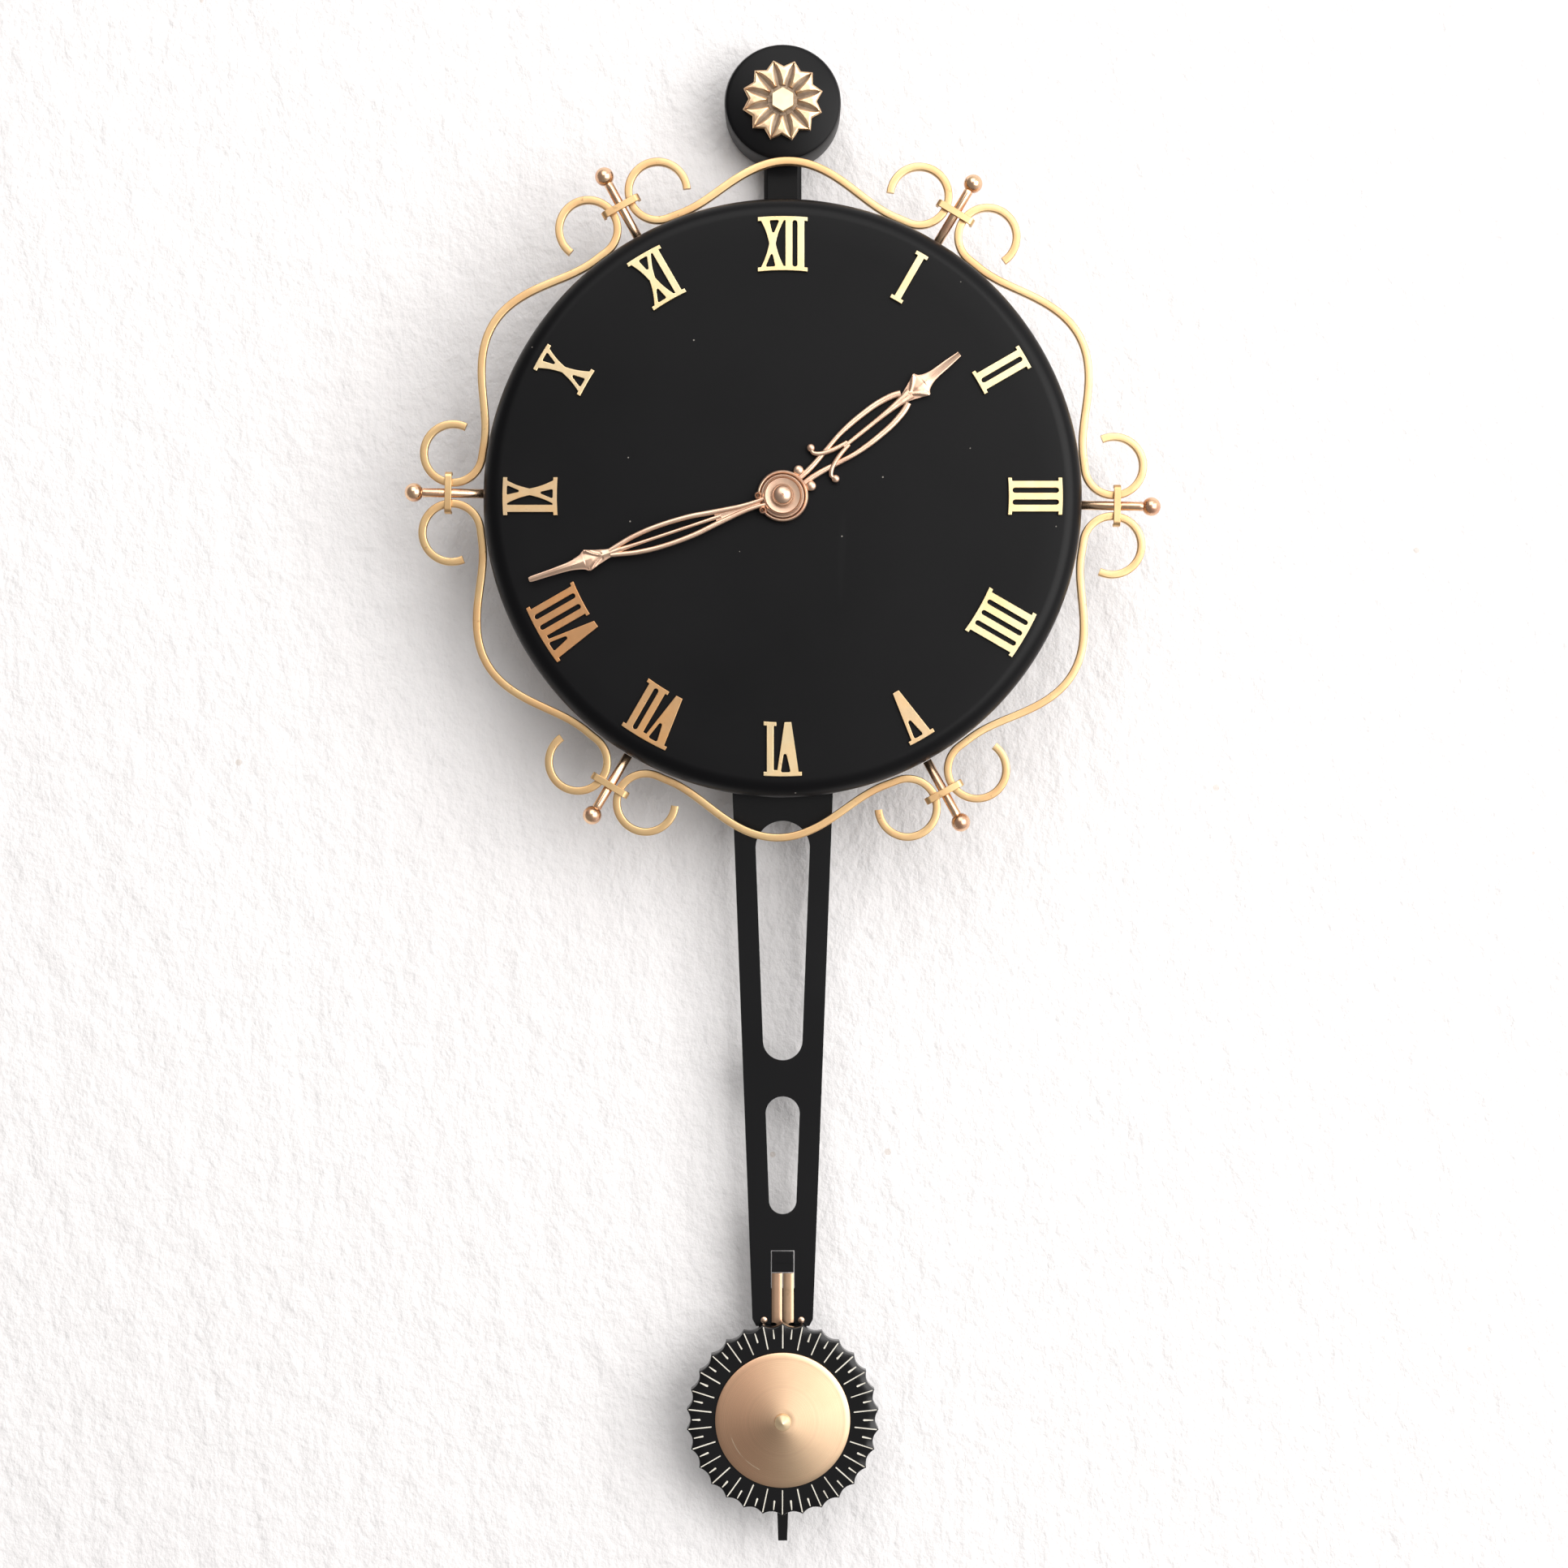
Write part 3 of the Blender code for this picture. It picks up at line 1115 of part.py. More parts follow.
def rivet_places():
    height = ARM_END_Z + RIVET_RISE
    return {"left": (-RIVET_SPACING / 2, height), "right": (RIVET_SPACING / 2, height)}


def make_pendulum_arm():
    holes = [circle((0, PIN_Z), PIN_RADIUS + RUNNING_GAP, 24), *arm_slots()]
    holes += [circle(place, RIVET_RADIUS - 0.1 * MM, 12) for place in rivet_places().values()]
    arm = add("pendulum_arm", plate(arm_outline(), ARM_BACK, ARM_FRONT, holes), "black_lacquer", "pendulum")
    cut(arm, plate(arm_pocket(), ARM_BACK - MM, SHEET_BACK))


def make_arm_fittings():
    magnet_back = ARM_FRONT + GAP
    magnet = rod(MAGNET_RADIUS, magnet_back, magnet_back + MAGNET_THICKNESS, 24, (0, DIAL_Z - COIL_DROP))
    add("drive_magnet", magnet, "steel", "pendulum", smooth=True)
    side = WINDOW_WIDTH / 2 - GAP
    top = ARM_END_Z + WINDOW_LENGTH - GAP
    proud = ARM_FRONT + CLAMP_PROUD
    clamp = block(-side, side, top - CLAMP_LENGTH, top, CARRIER_FRONT + GAP, proud)
    clamp = add("spring_clamp", clamp, "black_plastic", "pendulum")
    step = top - CLAMP_LEDGE
    below = top - CLAMP_LENGTH - MM
    cut(clamp, block(-side - MM, side + MM, below, step, proud - CLAMP_STEP, proud + MM))
    for name, place in rivet_places().items():
        head_back = ARM_FRONT + GAP
        profile = [
            (0, head_back + RIVET_HEAD),
            (RIVET_RADIUS * 0.6, head_back + RIVET_HEAD),
            (RIVET_RADIUS, head_back + RIVET_HEAD * 0.4),
            (RIVET_RADIUS, head_back),
            (RIVET_RADIUS - RIVET_LIP, head_back),
            (RIVET_RADIUS - RIVET_LIP, SHEET_BACK + GAP),
            (0, SHEET_BACK + GAP),
        ]
        shape = turned(profile, 16, centre=place)
        add(f"rivet_{name}", shape, "rosette_brass", "pendulum", smooth=True)


def make_click_spring():
    """Two brass leaves side by side, whose notched ends bear on the rating disc."""
    side = WINDOW_WIDTH / 2 - GAP
    top = ARM_END_Z + WINDOW_LENGTH - GAP - CLAMP_LENGTH - GAP
    slit = CLICK_SLIT / 2
    low = ARM_END_Z + GAP
    half = [
        (side, top),
        (side, low + CLICK_NOTCH * 1.5),
        (side * 0.6, low),
        (slit, low + CLICK_NOTCH),
        (slit, low + CLICK_SPLIT),
    ]
    outline = half + [(-x, z) for x, z in reversed(half)]
    front = ARM_FRONT + CLICK_THICKNESS / 2
    add("click_spring", plate(outline, front - CLICK_THICKNESS, front), "numeral_brass", "pendulum")


def make_bob_carrier():
    side = arm_half_width(ARM_END_Z) - ARM_FLANGE - CARRIER_PLAY
    disc_low = BOB_Z - DISC_RADIUS
    half = [(side, ARM_END_Z + CARRIER_LAP), (side, ARM_END_Z - CARRIER_SHELF)]
    half += arc((0, BOB_Z), CARRIER_BOSS_RADIUS, 50, 160, 6)
    half += [
        (POINTER_TOP_HALF_WIDTH, disc_low),
        (POINTER_END_HALF_WIDTH, disc_low - POINTER_SHOWING),
    ]
    back = CARRIER_FRONT - CARRIER_THICKNESS
    carrier = add("bob_carrier", plate(both_sides(half), back, CARRIER_FRONT), "black_lacquer", "pendulum")
    stud_front = CONE_FRONT + BOB_STUD_PROUD
    unite(carrier, rod(BOB_STUD_RADIUS, back + 0.5 * MM, stud_front, 20, (0, BOB_Z)))


def scalloped(radius, depth, at):
    """A ring whose edge dips between its points."""
    steps = DISC_SCALLOPS * 2
    points = []
    for i in range(steps):
        dip = i % 2
        x, z = polar(360 * i / steps, radius - depth * dip, (0, BOB_Z))
        points.append((x, -at, z))
    return points


def make_rating_disc():
    bore = BOB_STUD_RADIUS + RUNNING_GAP
    edge = DISC_EDGE
    rings = [
        scalloped(bore, 0, DISC_BACK),
        scalloped(DISC_RADIUS - edge, DISC_SCALLOP_DEPTH, DISC_BACK),
        scalloped(DISC_RADIUS, DISC_SCALLOP_DEPTH, DISC_BACK + edge),
        scalloped(DISC_RADIUS, DISC_SCALLOP_DEPTH, DISC_FRONT - edge),
        scalloped(DISC_RADIUS - edge, DISC_SCALLOP_DEPTH, DISC_FRONT),
        scalloped(bore, 0, DISC_FRONT),
    ]
    disc = add("rating_disc", ringed(rings), "black_lacquer", "rating_disc")
    pocket = circle((0, BOB_Z + RATE_OFFSET), DISC_RADIUS - DISC_RIM - RATE_OFFSET, 40)
    hub = circle((0, BOB_Z), DISC_HUB_RADIUS, 24)
    cut(disc, plate(pocket, DISC_BACK - MM, DISC_FRONT - DISC_WEB, [hub]))


def make_bob_cone():
    bore = BOB_STUD_RADIUS + RUNNING_GAP
    profile = [
        (bore, CONE_FRONT),
        (CONE_TOP_RADIUS, CONE_FRONT),
        (CONE_RADIUS, CONE_BACK + CONE_EDGE),
        (CONE_RADIUS, CONE_BACK),
        (bore, CONE_BACK),
    ]
    cone = turned(profile, 44, hollow=True, centre=(0, BOB_Z))
    add("bob_cone", cone, "cone_brass", "rating_disc", smooth=True)


def make_bob_nut():
    base = CONE_FRONT + GAP
    bore = BOB_STUD_RADIUS + GAP
    tip = base + BOB_NUT_HEIGHT
    bore_end = CONE_FRONT + BOB_STUD_PROUD + GAP
    profile = [
        (0, tip),
        (BOB_NUT_POINT_RADIUS, tip - BOB_NUT_POINT_RADIUS * 0.4),
        (BOB_NUT_RADIUS, base + BOB_NUT_COLLAR),
        (BOB_NUT_RADIUS, base),
        (bore, base),
        (bore, bore_end),
        (0, bore_end),
    ]
    add("bob_nut", turned(profile, 24, centre=(0, BOB_Z)), "cone_brass", "pendulum", smooth=True)


clear_scene()
make_materials()
BODIES = make_bodies()
make_hanger()
make_cap()
make_rosette()
make_rosette_bolt()
make_strap()
make_dial_pan()
make_numerals()
make_scroll_ring()
make_housing()
make_front_plate()
make_battery()
make_drive()
make_suspension_pin()
make_centre_arbor()
make_minute_wheel()
make_hour_wheel()
make_setting_knob()
make_hour_hand()
make_minute_hand()
make_hand_nut()
make_pendulum_arm()
make_arm_fittings()
make_click_spring()
make_bob_carrier()
make_rating_disc()
make_bob_cone()
make_bob_nut()
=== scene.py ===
"""The looks of a pendulum wall clock: scroll-wire dial, relief hands and a swinging scalloped bob.

Depths are distances out from the wall, so y = -depth. Angles round the dial and the bob are in
degrees clockwise from twelve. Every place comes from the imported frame.
"""
import math
import random

import bmesh
import bpy
from mathutils import Matrix, Vector


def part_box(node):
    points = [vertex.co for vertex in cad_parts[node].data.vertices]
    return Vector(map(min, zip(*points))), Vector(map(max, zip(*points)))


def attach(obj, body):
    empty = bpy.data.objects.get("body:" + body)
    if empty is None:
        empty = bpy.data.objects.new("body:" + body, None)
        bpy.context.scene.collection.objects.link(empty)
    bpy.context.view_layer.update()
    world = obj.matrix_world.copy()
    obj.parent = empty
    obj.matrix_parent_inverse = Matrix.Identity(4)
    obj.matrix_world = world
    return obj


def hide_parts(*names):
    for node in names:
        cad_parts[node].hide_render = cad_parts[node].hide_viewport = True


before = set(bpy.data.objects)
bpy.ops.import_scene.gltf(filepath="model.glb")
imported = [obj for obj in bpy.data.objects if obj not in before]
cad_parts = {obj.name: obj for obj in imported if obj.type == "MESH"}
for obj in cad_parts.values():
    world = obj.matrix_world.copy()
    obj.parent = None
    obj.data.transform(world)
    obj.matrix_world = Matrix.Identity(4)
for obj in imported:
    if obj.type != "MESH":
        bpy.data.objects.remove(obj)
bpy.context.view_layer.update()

MM = 0.001
GAP = 0.3 * MM  # between pieces that rest on each other
CHANCE = random.Random(12)


# Places read from the frame
def front_of(node):
    return -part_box(node)[0].y


def back_of(node):
    return -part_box(node)[1].y


def middle_of(node):
    low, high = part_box(node)
    return (low.x + high.x) / 2, (low.z + high.z) / 2


def half_width(node):
    low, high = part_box(node)
    return (high.x - low.x) / 2


def half_height(node):
    low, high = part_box(node)
    return (high.z - low.z) / 2


def bearing(point, centre):
    """The angle clockwise from twelve at which a point lies."""
    return math.degrees(math.atan2(point[0] - centre[0], point[1] - centre[1]))


def farthest(node, centre):
    """The length of a hand and the angle it points at, from its farthest corners."""
    corners = [(vertex.co.x, vertex.co.z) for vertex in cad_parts[node].data.vertices]
    reach = max(math.dist(corner, centre) for corner in corners)
    tip = [corner for corner in corners if math.dist(corner, centre) > reach - 0.3 * MM]
    mean = (sum(x for x, _ in tip) / len(tip), sum(z for _, z in tip) / len(tip))
    return math.dist(mean, centre), bearing(mean, centre)


def balance_bearing(node, centre):
    """The angle at which the middle of a symmetrical node's corners lies."""
    corners = [vertex.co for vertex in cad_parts[node].data.vertices]
    mean = sum(corners, Vector()) / len(corners)
    return bearing((mean.x, mean.z), centre)


DIAL = middle_of("dial_pan")
DIAL_RADIUS = half_width("dial_pan")
RIM_Z = DIAL[1] - DIAL_RADIUS
CAP_RADIUS = half_width("hanger_cap")
BOB = middle_of("bob_cone")
DISC_RADIUS = half_height("rating_disc")
CONE_RADIUS = half_width("bob_cone")
ARM_FRONT = front_of("pendulum_arm")
ARM_BACK = back_of("pendulum_arm")
ARM_END_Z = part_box("pendulum_arm")[0].z
PIN = middle_of("suspension_pin")
WIRE_BACK = back_of("scroll_wire_1")
WIRE_FRONT = front_of("scroll_wire_1")
WIRE_DEPTH = (WIRE_BACK + WIRE_FRONT) / 2
WIRE_WIDTH = WIRE_FRONT - WIRE_BACK
HOUR_LENGTH, HOUR_ANGLE = farthest("hour_hand", DIAL)
MINUTE_LENGTH, MINUTE_ANGLE = farthest("minute_hand", DIAL)

NUMERALS = ("XII", "I", "II", "III", "IIII", "V", "VI", "VII", "VIII", "IX", "X", "XI")


# Flat outlines, as lists of (x, z) points
def polar(angle, radius, centre=(0.0, 0.0)):
    turn = math.radians(angle)
    return centre[0] + radius * math.sin(turn), centre[1] + radius * math.cos(turn)


def arc(centre, radius, start, end, steps):
    return [polar(start + (end - start) * i / steps, radius, centre) for i in range(steps + 1)]


def circle(centre, radius, steps=64):
    return arc(centre, radius, 0, 360, steps)[:-1]


def mirrored(points):
    return [(-x, *rest) for x, *rest in points]


def both_sides(half):
    """A closed outline from its right half, listed from one end to the other."""
    return half + [(-x, z) for x, z in reversed(half) if abs(x) > 1e-9]


def rounded(points, radius, steps=6):
    """The outline with each corner turned into an arc of this radius."""
    done = []
    for i, corner in enumerate(points):
        corner = Vector(corner)
        before = (Vector(points[i - 1]) - corner).normalized()
        after = (Vector(points[(i + 1) % len(points)]) - corner).normalized()
        half = before.angle(after) / 2
        middle = corner + (before + after).normalized() * radius / math.sin(half)
        start = corner + before * radius / math.tan(half) - middle
        end = corner + after * radius / math.tan(half) - middle
        turn = start.angle_signed(end)
        for k in range(steps + 1):
            done.append(tuple(middle + Matrix.Rotation(-turn * k / steps, 2) @ start))
    return done


def turned_to(points, angle, centre=(0.0, 0.0)):
    """Points drawn with up as outward, carried to an angle round a centre."""
    turn = math.radians(angle)
    cos, sin = math.cos(turn), math.sin(turn)
    return [(centre[0] + x * cos + z * sin, centre[1] - x * sin + z * cos) for x, z in points]


def eased(points, steps):
    """A smooth run through points of any length, by Catmull-Rom weights."""
    run = []
    last = len(points) - 1
    for i in range(last):
        a, b, c, d = (points[max(0, min(last, i + k))] for k in (-1, 0, 1, 2))
        for k in range(steps):
            t = k / steps
            weights = (
                (-t + 2 * t ** 2 - t ** 3) / 2,
                (2 - 5 * t ** 2 + 3 * t ** 3) / 2,
                (t + 4 * t ** 2 - 3 * t ** 3) / 2,
                (t ** 3 - t ** 2) / 2,
            )
            run.append(tuple(sum(w * v for w, v in zip(weights, values)) for values in zip(a, b, c, d)))
    run.append(tuple(points[-1]))
    return run


# Closed shapes
def plate(outline, back, front, holes=()):
    """A flat plate between two depths, with holes through it."""
    shape = bmesh.new()
    edges = []
    for loop in (outline, *holes):
        corners = [shape.verts.new((x, -front, z)) for x, z in loop]
        edges += [shape.edges.new(pair) for pair in zip(corners, corners[1:] + corners[:1])]
    bmesh.ops.triangle_fill(shape, use_beauty=True, edges=edges)
    made = bmesh.ops.extrude_face_region(shape, geom=shape.faces[:])["geom"]
    moved = [item for item in made if isinstance(item, bmesh.types.BMVert)]
    bmesh.ops.translate(shape, verts=moved, vec=(0, front - back, 0))
    bmesh.ops.dissolve_limit(shape, angle_limit=math.radians(1), verts=shape.verts, edges=shape.edges)
    bmesh.ops.recalc_face_normals(shape, faces=shape.faces)
    return shape


def turned(profile, steps, hollow=False, centre=(0.0, 0.0)):
    """A solid of revolution about Y, from (radius, depth) points. A hollow one never meets the axis."""
    shape = bmesh.new()
    corners = [shape.verts.new((radius, -depth, 0)) for radius, depth in profile]
    pairs = list(zip(corners, corners[1:]))
    if hollow:
        pairs.append((corners[-1], corners[0]))
    edges = [shape.edges.new(pair) for pair in pairs]
    bmesh.ops.spin(shape, geom=corners + edges, cent=(0, 0, 0), axis=(0, 1, 0),
                   angle=math.tau, steps=steps, use_merge=True)
    bmesh.ops.remove_doubles(shape, verts=shape.verts, dist=1e-7)
    bmesh.ops.recalc_face_normals(shape, faces=shape.faces)
    bmesh.ops.translate(shape, verts=shape.verts, vec=(centre[0], 0, centre[1]))
    return shape


def crowned(radius, top, drop, angles):
    """Profile points over a button's rounded top, out to its full radius at 90 degrees."""
    turns = [math.radians(angle) for angle in angles]
    return [(radius * math.sin(turn), top - drop * (1 - math.cos(turn))) for turn in turns]


def rod(radius, back, front, steps=48, centre=(0.0, 0.0)):
    return turned([(0, front), (radius, front), (radius, back), (0, back)], steps, centre=centre)


def ringed(rings, closed=True):
    """A body through rings of points with equal counts: a closed loop of rings, or a capped run."""
    shape = bmesh.new()
    loops = [[shape.verts.new(point) for point in ring] for ring in rings]
    following = loops[1:] + loops[:1] if closed else loops[1:]
    for near, far in zip(loops, following):
        for i in range(len(near)):
            shape.faces.new((near[i - 1], near[i], far[i], far[i - 1]))
    if not closed:
        shape.faces.new(loops[0])
        shape.faces.new(list(reversed(loops[-1])))
    bmesh.ops.recalc_face_normals(shape, faces=shape.faces)
    return shape


def swept(path, section):
    """A bar along (x, z, size) points. The section's (across, depth) points are stretched by size."""
    rings = []
    for i, (x, z, size) in enumerate(path):
        ahead = Vector(path[min(i + 1, len(path) - 1)][:2])
        behind = Vector(path[max(i - 1, 0)][:2])
        along = (ahead - behind).normalized()
        rings.append([(x + along.y * a * size, -depth, z - along.x * a * size) for a, depth in section])
    return ringed(rings, closed=False)


def strand(points, back, edge, crown, steps=10):
    """A raised ribbon of a hand through (x, z, width) points in millimetres, with a crowned top."""
    path = [(x * MM, z * MM, width * MM) for x, z, width in eased(points, steps)]
    section = [(-0.5, back), (-0.5, edge)]
    for k in range(1, 6):
        turn = math.pi * k / 6
        section.append((-0.5 * math.cos(turn), edge + crown * math.sin(turn)))
    section += [(0.5, edge), (0.5, back)]
    return swept(path, section)


def placed(shape, angle, centre):
    """A shape drawn upright round the origin, turned to an angle at a centre."""
    turn = Matrix.Translation((centre[0], 0, centre[1])) @ Matrix.Rotation(math.radians(angle), 4, "Y")
    bmesh.ops.transform(shape, matrix=turn, verts=shape.verts)
    return shape


def helper_object(shape):
    mesh = bpy.data.meshes.new("helper")
    shape.to_mesh(mesh)
    shape.free()
    helper = bpy.data.objects.new("helper", mesh)
    bpy.context.scene.collection.objects.link(helper)
    return helper


def gather(whole, part):
    """Adds a separate part to a shape that is a set of loose pieces."""
    mesh = bpy.data.meshes.new("part")
    part.to_mesh(mesh)
    part.free()
    whole.from_mesh(mesh)
    bpy.data.meshes.remove(mesh)


def combined(shape, operation, *tools):
    """The shape after each tool has been joined to it or cut from it."""
    base = helper_object(shape)
    helpers = [base]
    for tool in tools:
        helpers.append(helper_object(tool))
        modifier = base.modifiers.new("combine", "BOOLEAN")
        modifier.operation = operation
        modifier.object = helpers[-1]
    evaluated = base.evaluated_get(bpy.context.evaluated_depsgraph_get())
    result = bmesh.new()
    result.from_mesh(evaluated.to_mesh())
    for helper in helpers:
        mesh = helper.data
        bpy.data.objects.remove(helper)
        bpy.data.meshes.remove(mesh)
    return result


# Pieces
def add(name, shape, paint, body, slot, *nodes, angle=35, lay=Matrix()):
    """Makes a piece that rides on a body and stands for CAD nodes. Lay carries its own axes."""
    mesh = bpy.data.meshes.new(name)
    shape.to_mesh(mesh)
    shape.free()
    mesh.shade_smooth()
    mesh.set_sharp_from_angle(angle=math.radians(angle))
    mesh.materials.append(paint)
    piece = bpy.data.objects.new(name, mesh)
    bpy.context.scene.collection.objects.link(piece)
    piece.matrix_world = lay
    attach(piece, body)
    if nodes:
        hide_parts(*nodes)
    return piece


def soften(piece, width, segments=3, angle=30):
    """Rounds the edges that a tool or a press would leave soft."""
    weld = piece.modifiers.new("weld", "WELD")
    weld.merge_threshold = 0.002 * MM
    bevel = piece.modifiers.new("edges", "BEVEL")
    bevel.width = width
    bevel.segments = segments
    bevel.limit_method = "ANGLE"
    bevel.angle_limit = math.radians(angle)
    bevel.harden_normals = True
    return piece


def finish_node(name, paint, width=0.0):
    """Gives a CAD node that is shown as it is a real finish and soft edges."""
    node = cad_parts[name]
    node.data.materials.clear()
    node.data.materials.append(paint)
    if width:
        soften(node, width, 2)


# Materials
class Value:
    """A socket of a material, so that an expression on values adds its Math nodes."""

    def __init__(self, paint, socket):
        self.paint = paint
        self.socket = socket

    def maths(self, operation, first, second):
        return self.paint.node("ShaderNodeMath", {"operation": operation}, {0: first, 1: second})

    def __add__(self, other):
        return self.maths("ADD", self, other)

    __radd__ = __add__

    def __sub__(self, other):
        return self.maths("SUBTRACT", self, other)

    def __rsub__(self, other):
        return self.maths("SUBTRACT", other, self)

    def __mul__(self, other):
        return self.maths("MULTIPLY", self, other)

    __rmul__ = __mul__

    def __lt__(self, other):
        return self.maths("LESS_THAN", self, other)

    def __gt__(self, other):
        return self.maths("GREATER_THAN", self, other)

    def faded(self, low, high):
        """0 below low and 1 above high, or the other way round, with a smooth rise between."""
        sockets = {0: self, 1: low, 2: high, 3: 0.0, 4: 1.0}
        return self.paint.node("ShaderNodeMapRange", {"interpolation_type": "SMOOTHSTEP"}, sockets)


class Paint:
    """A material while its nodes are laid."""

    def __init__(self, name, roughness=0.4, metallic=0.0):
        self.material = bpy.data.materials.new(name)
        self.material.use_nodes = True
        self.tree = self.material.node_tree
        self.shader = self.tree.nodes["Principled BSDF"]
        self.give("Roughness", roughness)
        self.give("Metallic", metallic)

    def node(self, kind, settings=None, sockets=None, output=0):
        """Adds a node: its settings first, then the values or links of its sockets."""
        made = self.tree.nodes.new(kind)
        for name, setting in (settings or {}).items():
            setattr(made, name, setting)
        for name, value in (sockets or {}).items():
            self.plug(made.inputs[name], value)
        return Value(self, made.outputs[output])

    def plug(self, socket, value):
        if isinstance(value, Value):
            self.tree.links.new(value.socket, socket)
        elif isinstance(value, tuple) and len(socket.default_value) == 4:
            socket.default_value = (*value, 1)
        else:
            socket.default_value = value

    def give(self, name, value):
        self.plug(self.shader.inputs[name], value)

    def place(self, scale=(1.0, 1.0, 1.0)):
        """The point on the piece, in metres, stretched along each axis."""
        point = self.node("ShaderNodeTexCoord", output=3)
        return self.node("ShaderNodeMapping", {"vector_type": "POINT"}, {"Vector": point, "Scale": scale})

    def noise(self, size, detail=3.0, roughness=0.55, stretch=(1.0, 1.0, 1.0)):
        """Cloudy noise whose features are about size across."""
        sockets = {"Vector": self.place(stretch), "Scale": 1 / size}
        sockets |= {"Detail": detail, "Roughness": roughness}
        return self.node("ShaderNodeTexNoise", {}, sockets)

    def specks(self, spacing, radius):
        """1 on small round specks that lie about spacing apart."""
        sockets = {"Vector": self.place(), "Scale": 1 / spacing}
        return self.node("ShaderNodeTexVoronoi", {}, sockets) < radius / spacing

    def mixed(self, share, first, second):
        sockets = {"Factor": share, 6: first, 7: second}
        return self.node("ShaderNodeMix", {"data_type": "RGBA"}, sockets, output=2)

    def bump(self, height, depth, onto=None):
        """Raises the surface by up to depth where height is 1."""
        sockets = {"Height": height, "Distance": depth, "Strength": 1.0}
        if onto:
            sockets["Normal"] = onto
        return self.node("ShaderNodeBump", {}, sockets)

    def spread(self):
        """The distance from the piece's own Z axis, in metres."""
        sockets = {0: self.place(), 1: (1, 1, 0)}
        flat = self.node("ShaderNodeVectorMath", {"operation": "MULTIPLY"}, sockets)
        return self.node("ShaderNodeVectorMath", {"operation": "LENGTH"}, {0: flat}, output=1)

    def along(self, axis):
        """The coordinate of the point along one of the piece's axes."""
        return self.node("ShaderNodeSeparateXYZ", {}, {0: self.place()}, output="XYZ".index(axis))


def lacquer(name, roughness, sheen):
    """Black stoved lacquer with a faint orange peel, smears, a little dust and fine hairlines."""
    paint = Paint(name)
    smear = paint.noise(60 * MM, 4)
    peel = paint.noise(1.3 * MM, 2)
    dust = paint.specks(15 * MM, 0.3 * MM)
    hair = paint.noise(9 * MM, 2, 0.5, (1, 1, 0.06)).faded(0.73, 0.76)
    black = paint.mixed(smear, (0.0012, 0.0012, 0.0016), (0.0024, 0.0022, 0.0028))
    paint.give("Base Color", paint.mixed(dust * 0.8, black, (0.30, 0.28, 0.25)))
    paint.give("Roughness", roughness + (smear - 0.5) * 0.14 + hair * 0.06 + dust * 0.3)
    paint.give("Specular IOR Level", sheen)
    paint.give("Normal", paint.bump(peel, 0.004 * MM))
    return paint.material


def moulded_plastic():
    """Matt black plastic with a sparked grain and scuffed high spots."""
    paint = Paint("moulded_plastic")
    grain = paint.noise(0.5 * MM, 3)
    scuff = paint.noise(14 * MM, 5).faded(0.56, 0.72)
    paint.give("Base Color", paint.mixed(scuff, (0.014, 0.014, 0.015), (0.028, 0.027, 0.027)))
    paint.give("Roughness", 0.5 + grain * 0.12 - scuff * 0.08)
    paint.give("Specular IOR Level", 0.4)
    paint.give("Normal", paint.bump(grain, 0.02 * MM))
    return paint.material


def brass(name, clean, dull, stain, roughness, cloud=18 * MM, staining=(0.62, 0.74), specks=0.55):
    """Brass that has gone dull in clouds, with small dark tarnish spots and hair-fine handling marks."""
    paint = Paint(name, metallic=1.0)
    clouds = paint.noise(cloud, 4).faded(0.38, 0.68)
    stains = paint.noise(3.2 * MM, 5, 0.6).faded(*staining)
    dots = paint.specks(5.5 * MM, 0.22 * MM)
    marks = paint.noise(0.9 * MM, 3, 0.6, (1, 1, 0.12))
    dirt = stains * specks + dots * 0.7
    tone = paint.mixed(clouds, clean, dull)
    paint.give("Base Color", paint.mixed(dirt, tone, stain))
    paint.give("Roughness", roughness + clouds * 0.07 + dirt * 0.22 + (marks - 0.5) * 0.1)
    paint.give("Normal", paint.bump(marks, 0.006 * MM, paint.bump(dirt, -0.01 * MM)))
    return paint.material


def numeral_brass(name, painted_light_tone):
    """Stamped brass in one numeral's tone, with duller clouds and dark stains. The tone it is given is
    painted light: lighter or darker as the light falls on that numeral.
    """
    dull = tuple(level * share for level, share in zip(painted_light_tone, (0.88, 0.80, 0.70)))
    stain = tuple(level * share for level, share in zip(painted_light_tone, (0.34, 0.27, 0.25)))
    return brass(name, painted_light_tone, dull, stain, 0.3, 12 * MM, (0.64, 0.80))


def patinated_brass():
    """Pale gold with brown patina left in the pressed grooves."""
    paint = Paint("patinated_brass", metallic=1.0)
    depth = paint.node("ShaderNodeAttribute", {"attribute_name": "patina"}, output=2)
    mottle = paint.noise(1.8 * MM, 5, 0.65)
    clouds = paint.noise(6 * MM, 3)
    patina = (depth + (mottle - 0.5) * 0.45).faded(0.26, 0.60)
    gold = paint.mixed(clouds.faded(0.4, 0.66), (0.93, 0.68, 0.43), (0.82, 0.53, 0.33))
    brown = paint.mixed(mottle, (0.20, 0.14, 0.10), (0.44, 0.34, 0.25))
    paint.give("Base Color", paint.mixed(patina, gold, brown))
    paint.give("Metallic", 1.0 - patina * 0.35)
    paint.give("Roughness", 0.3 + patina * 0.28 + (mottle - 0.5) * 0.1)
    paint.give("Normal", paint.bump(mottle, 0.02 * MM))
    return paint.material


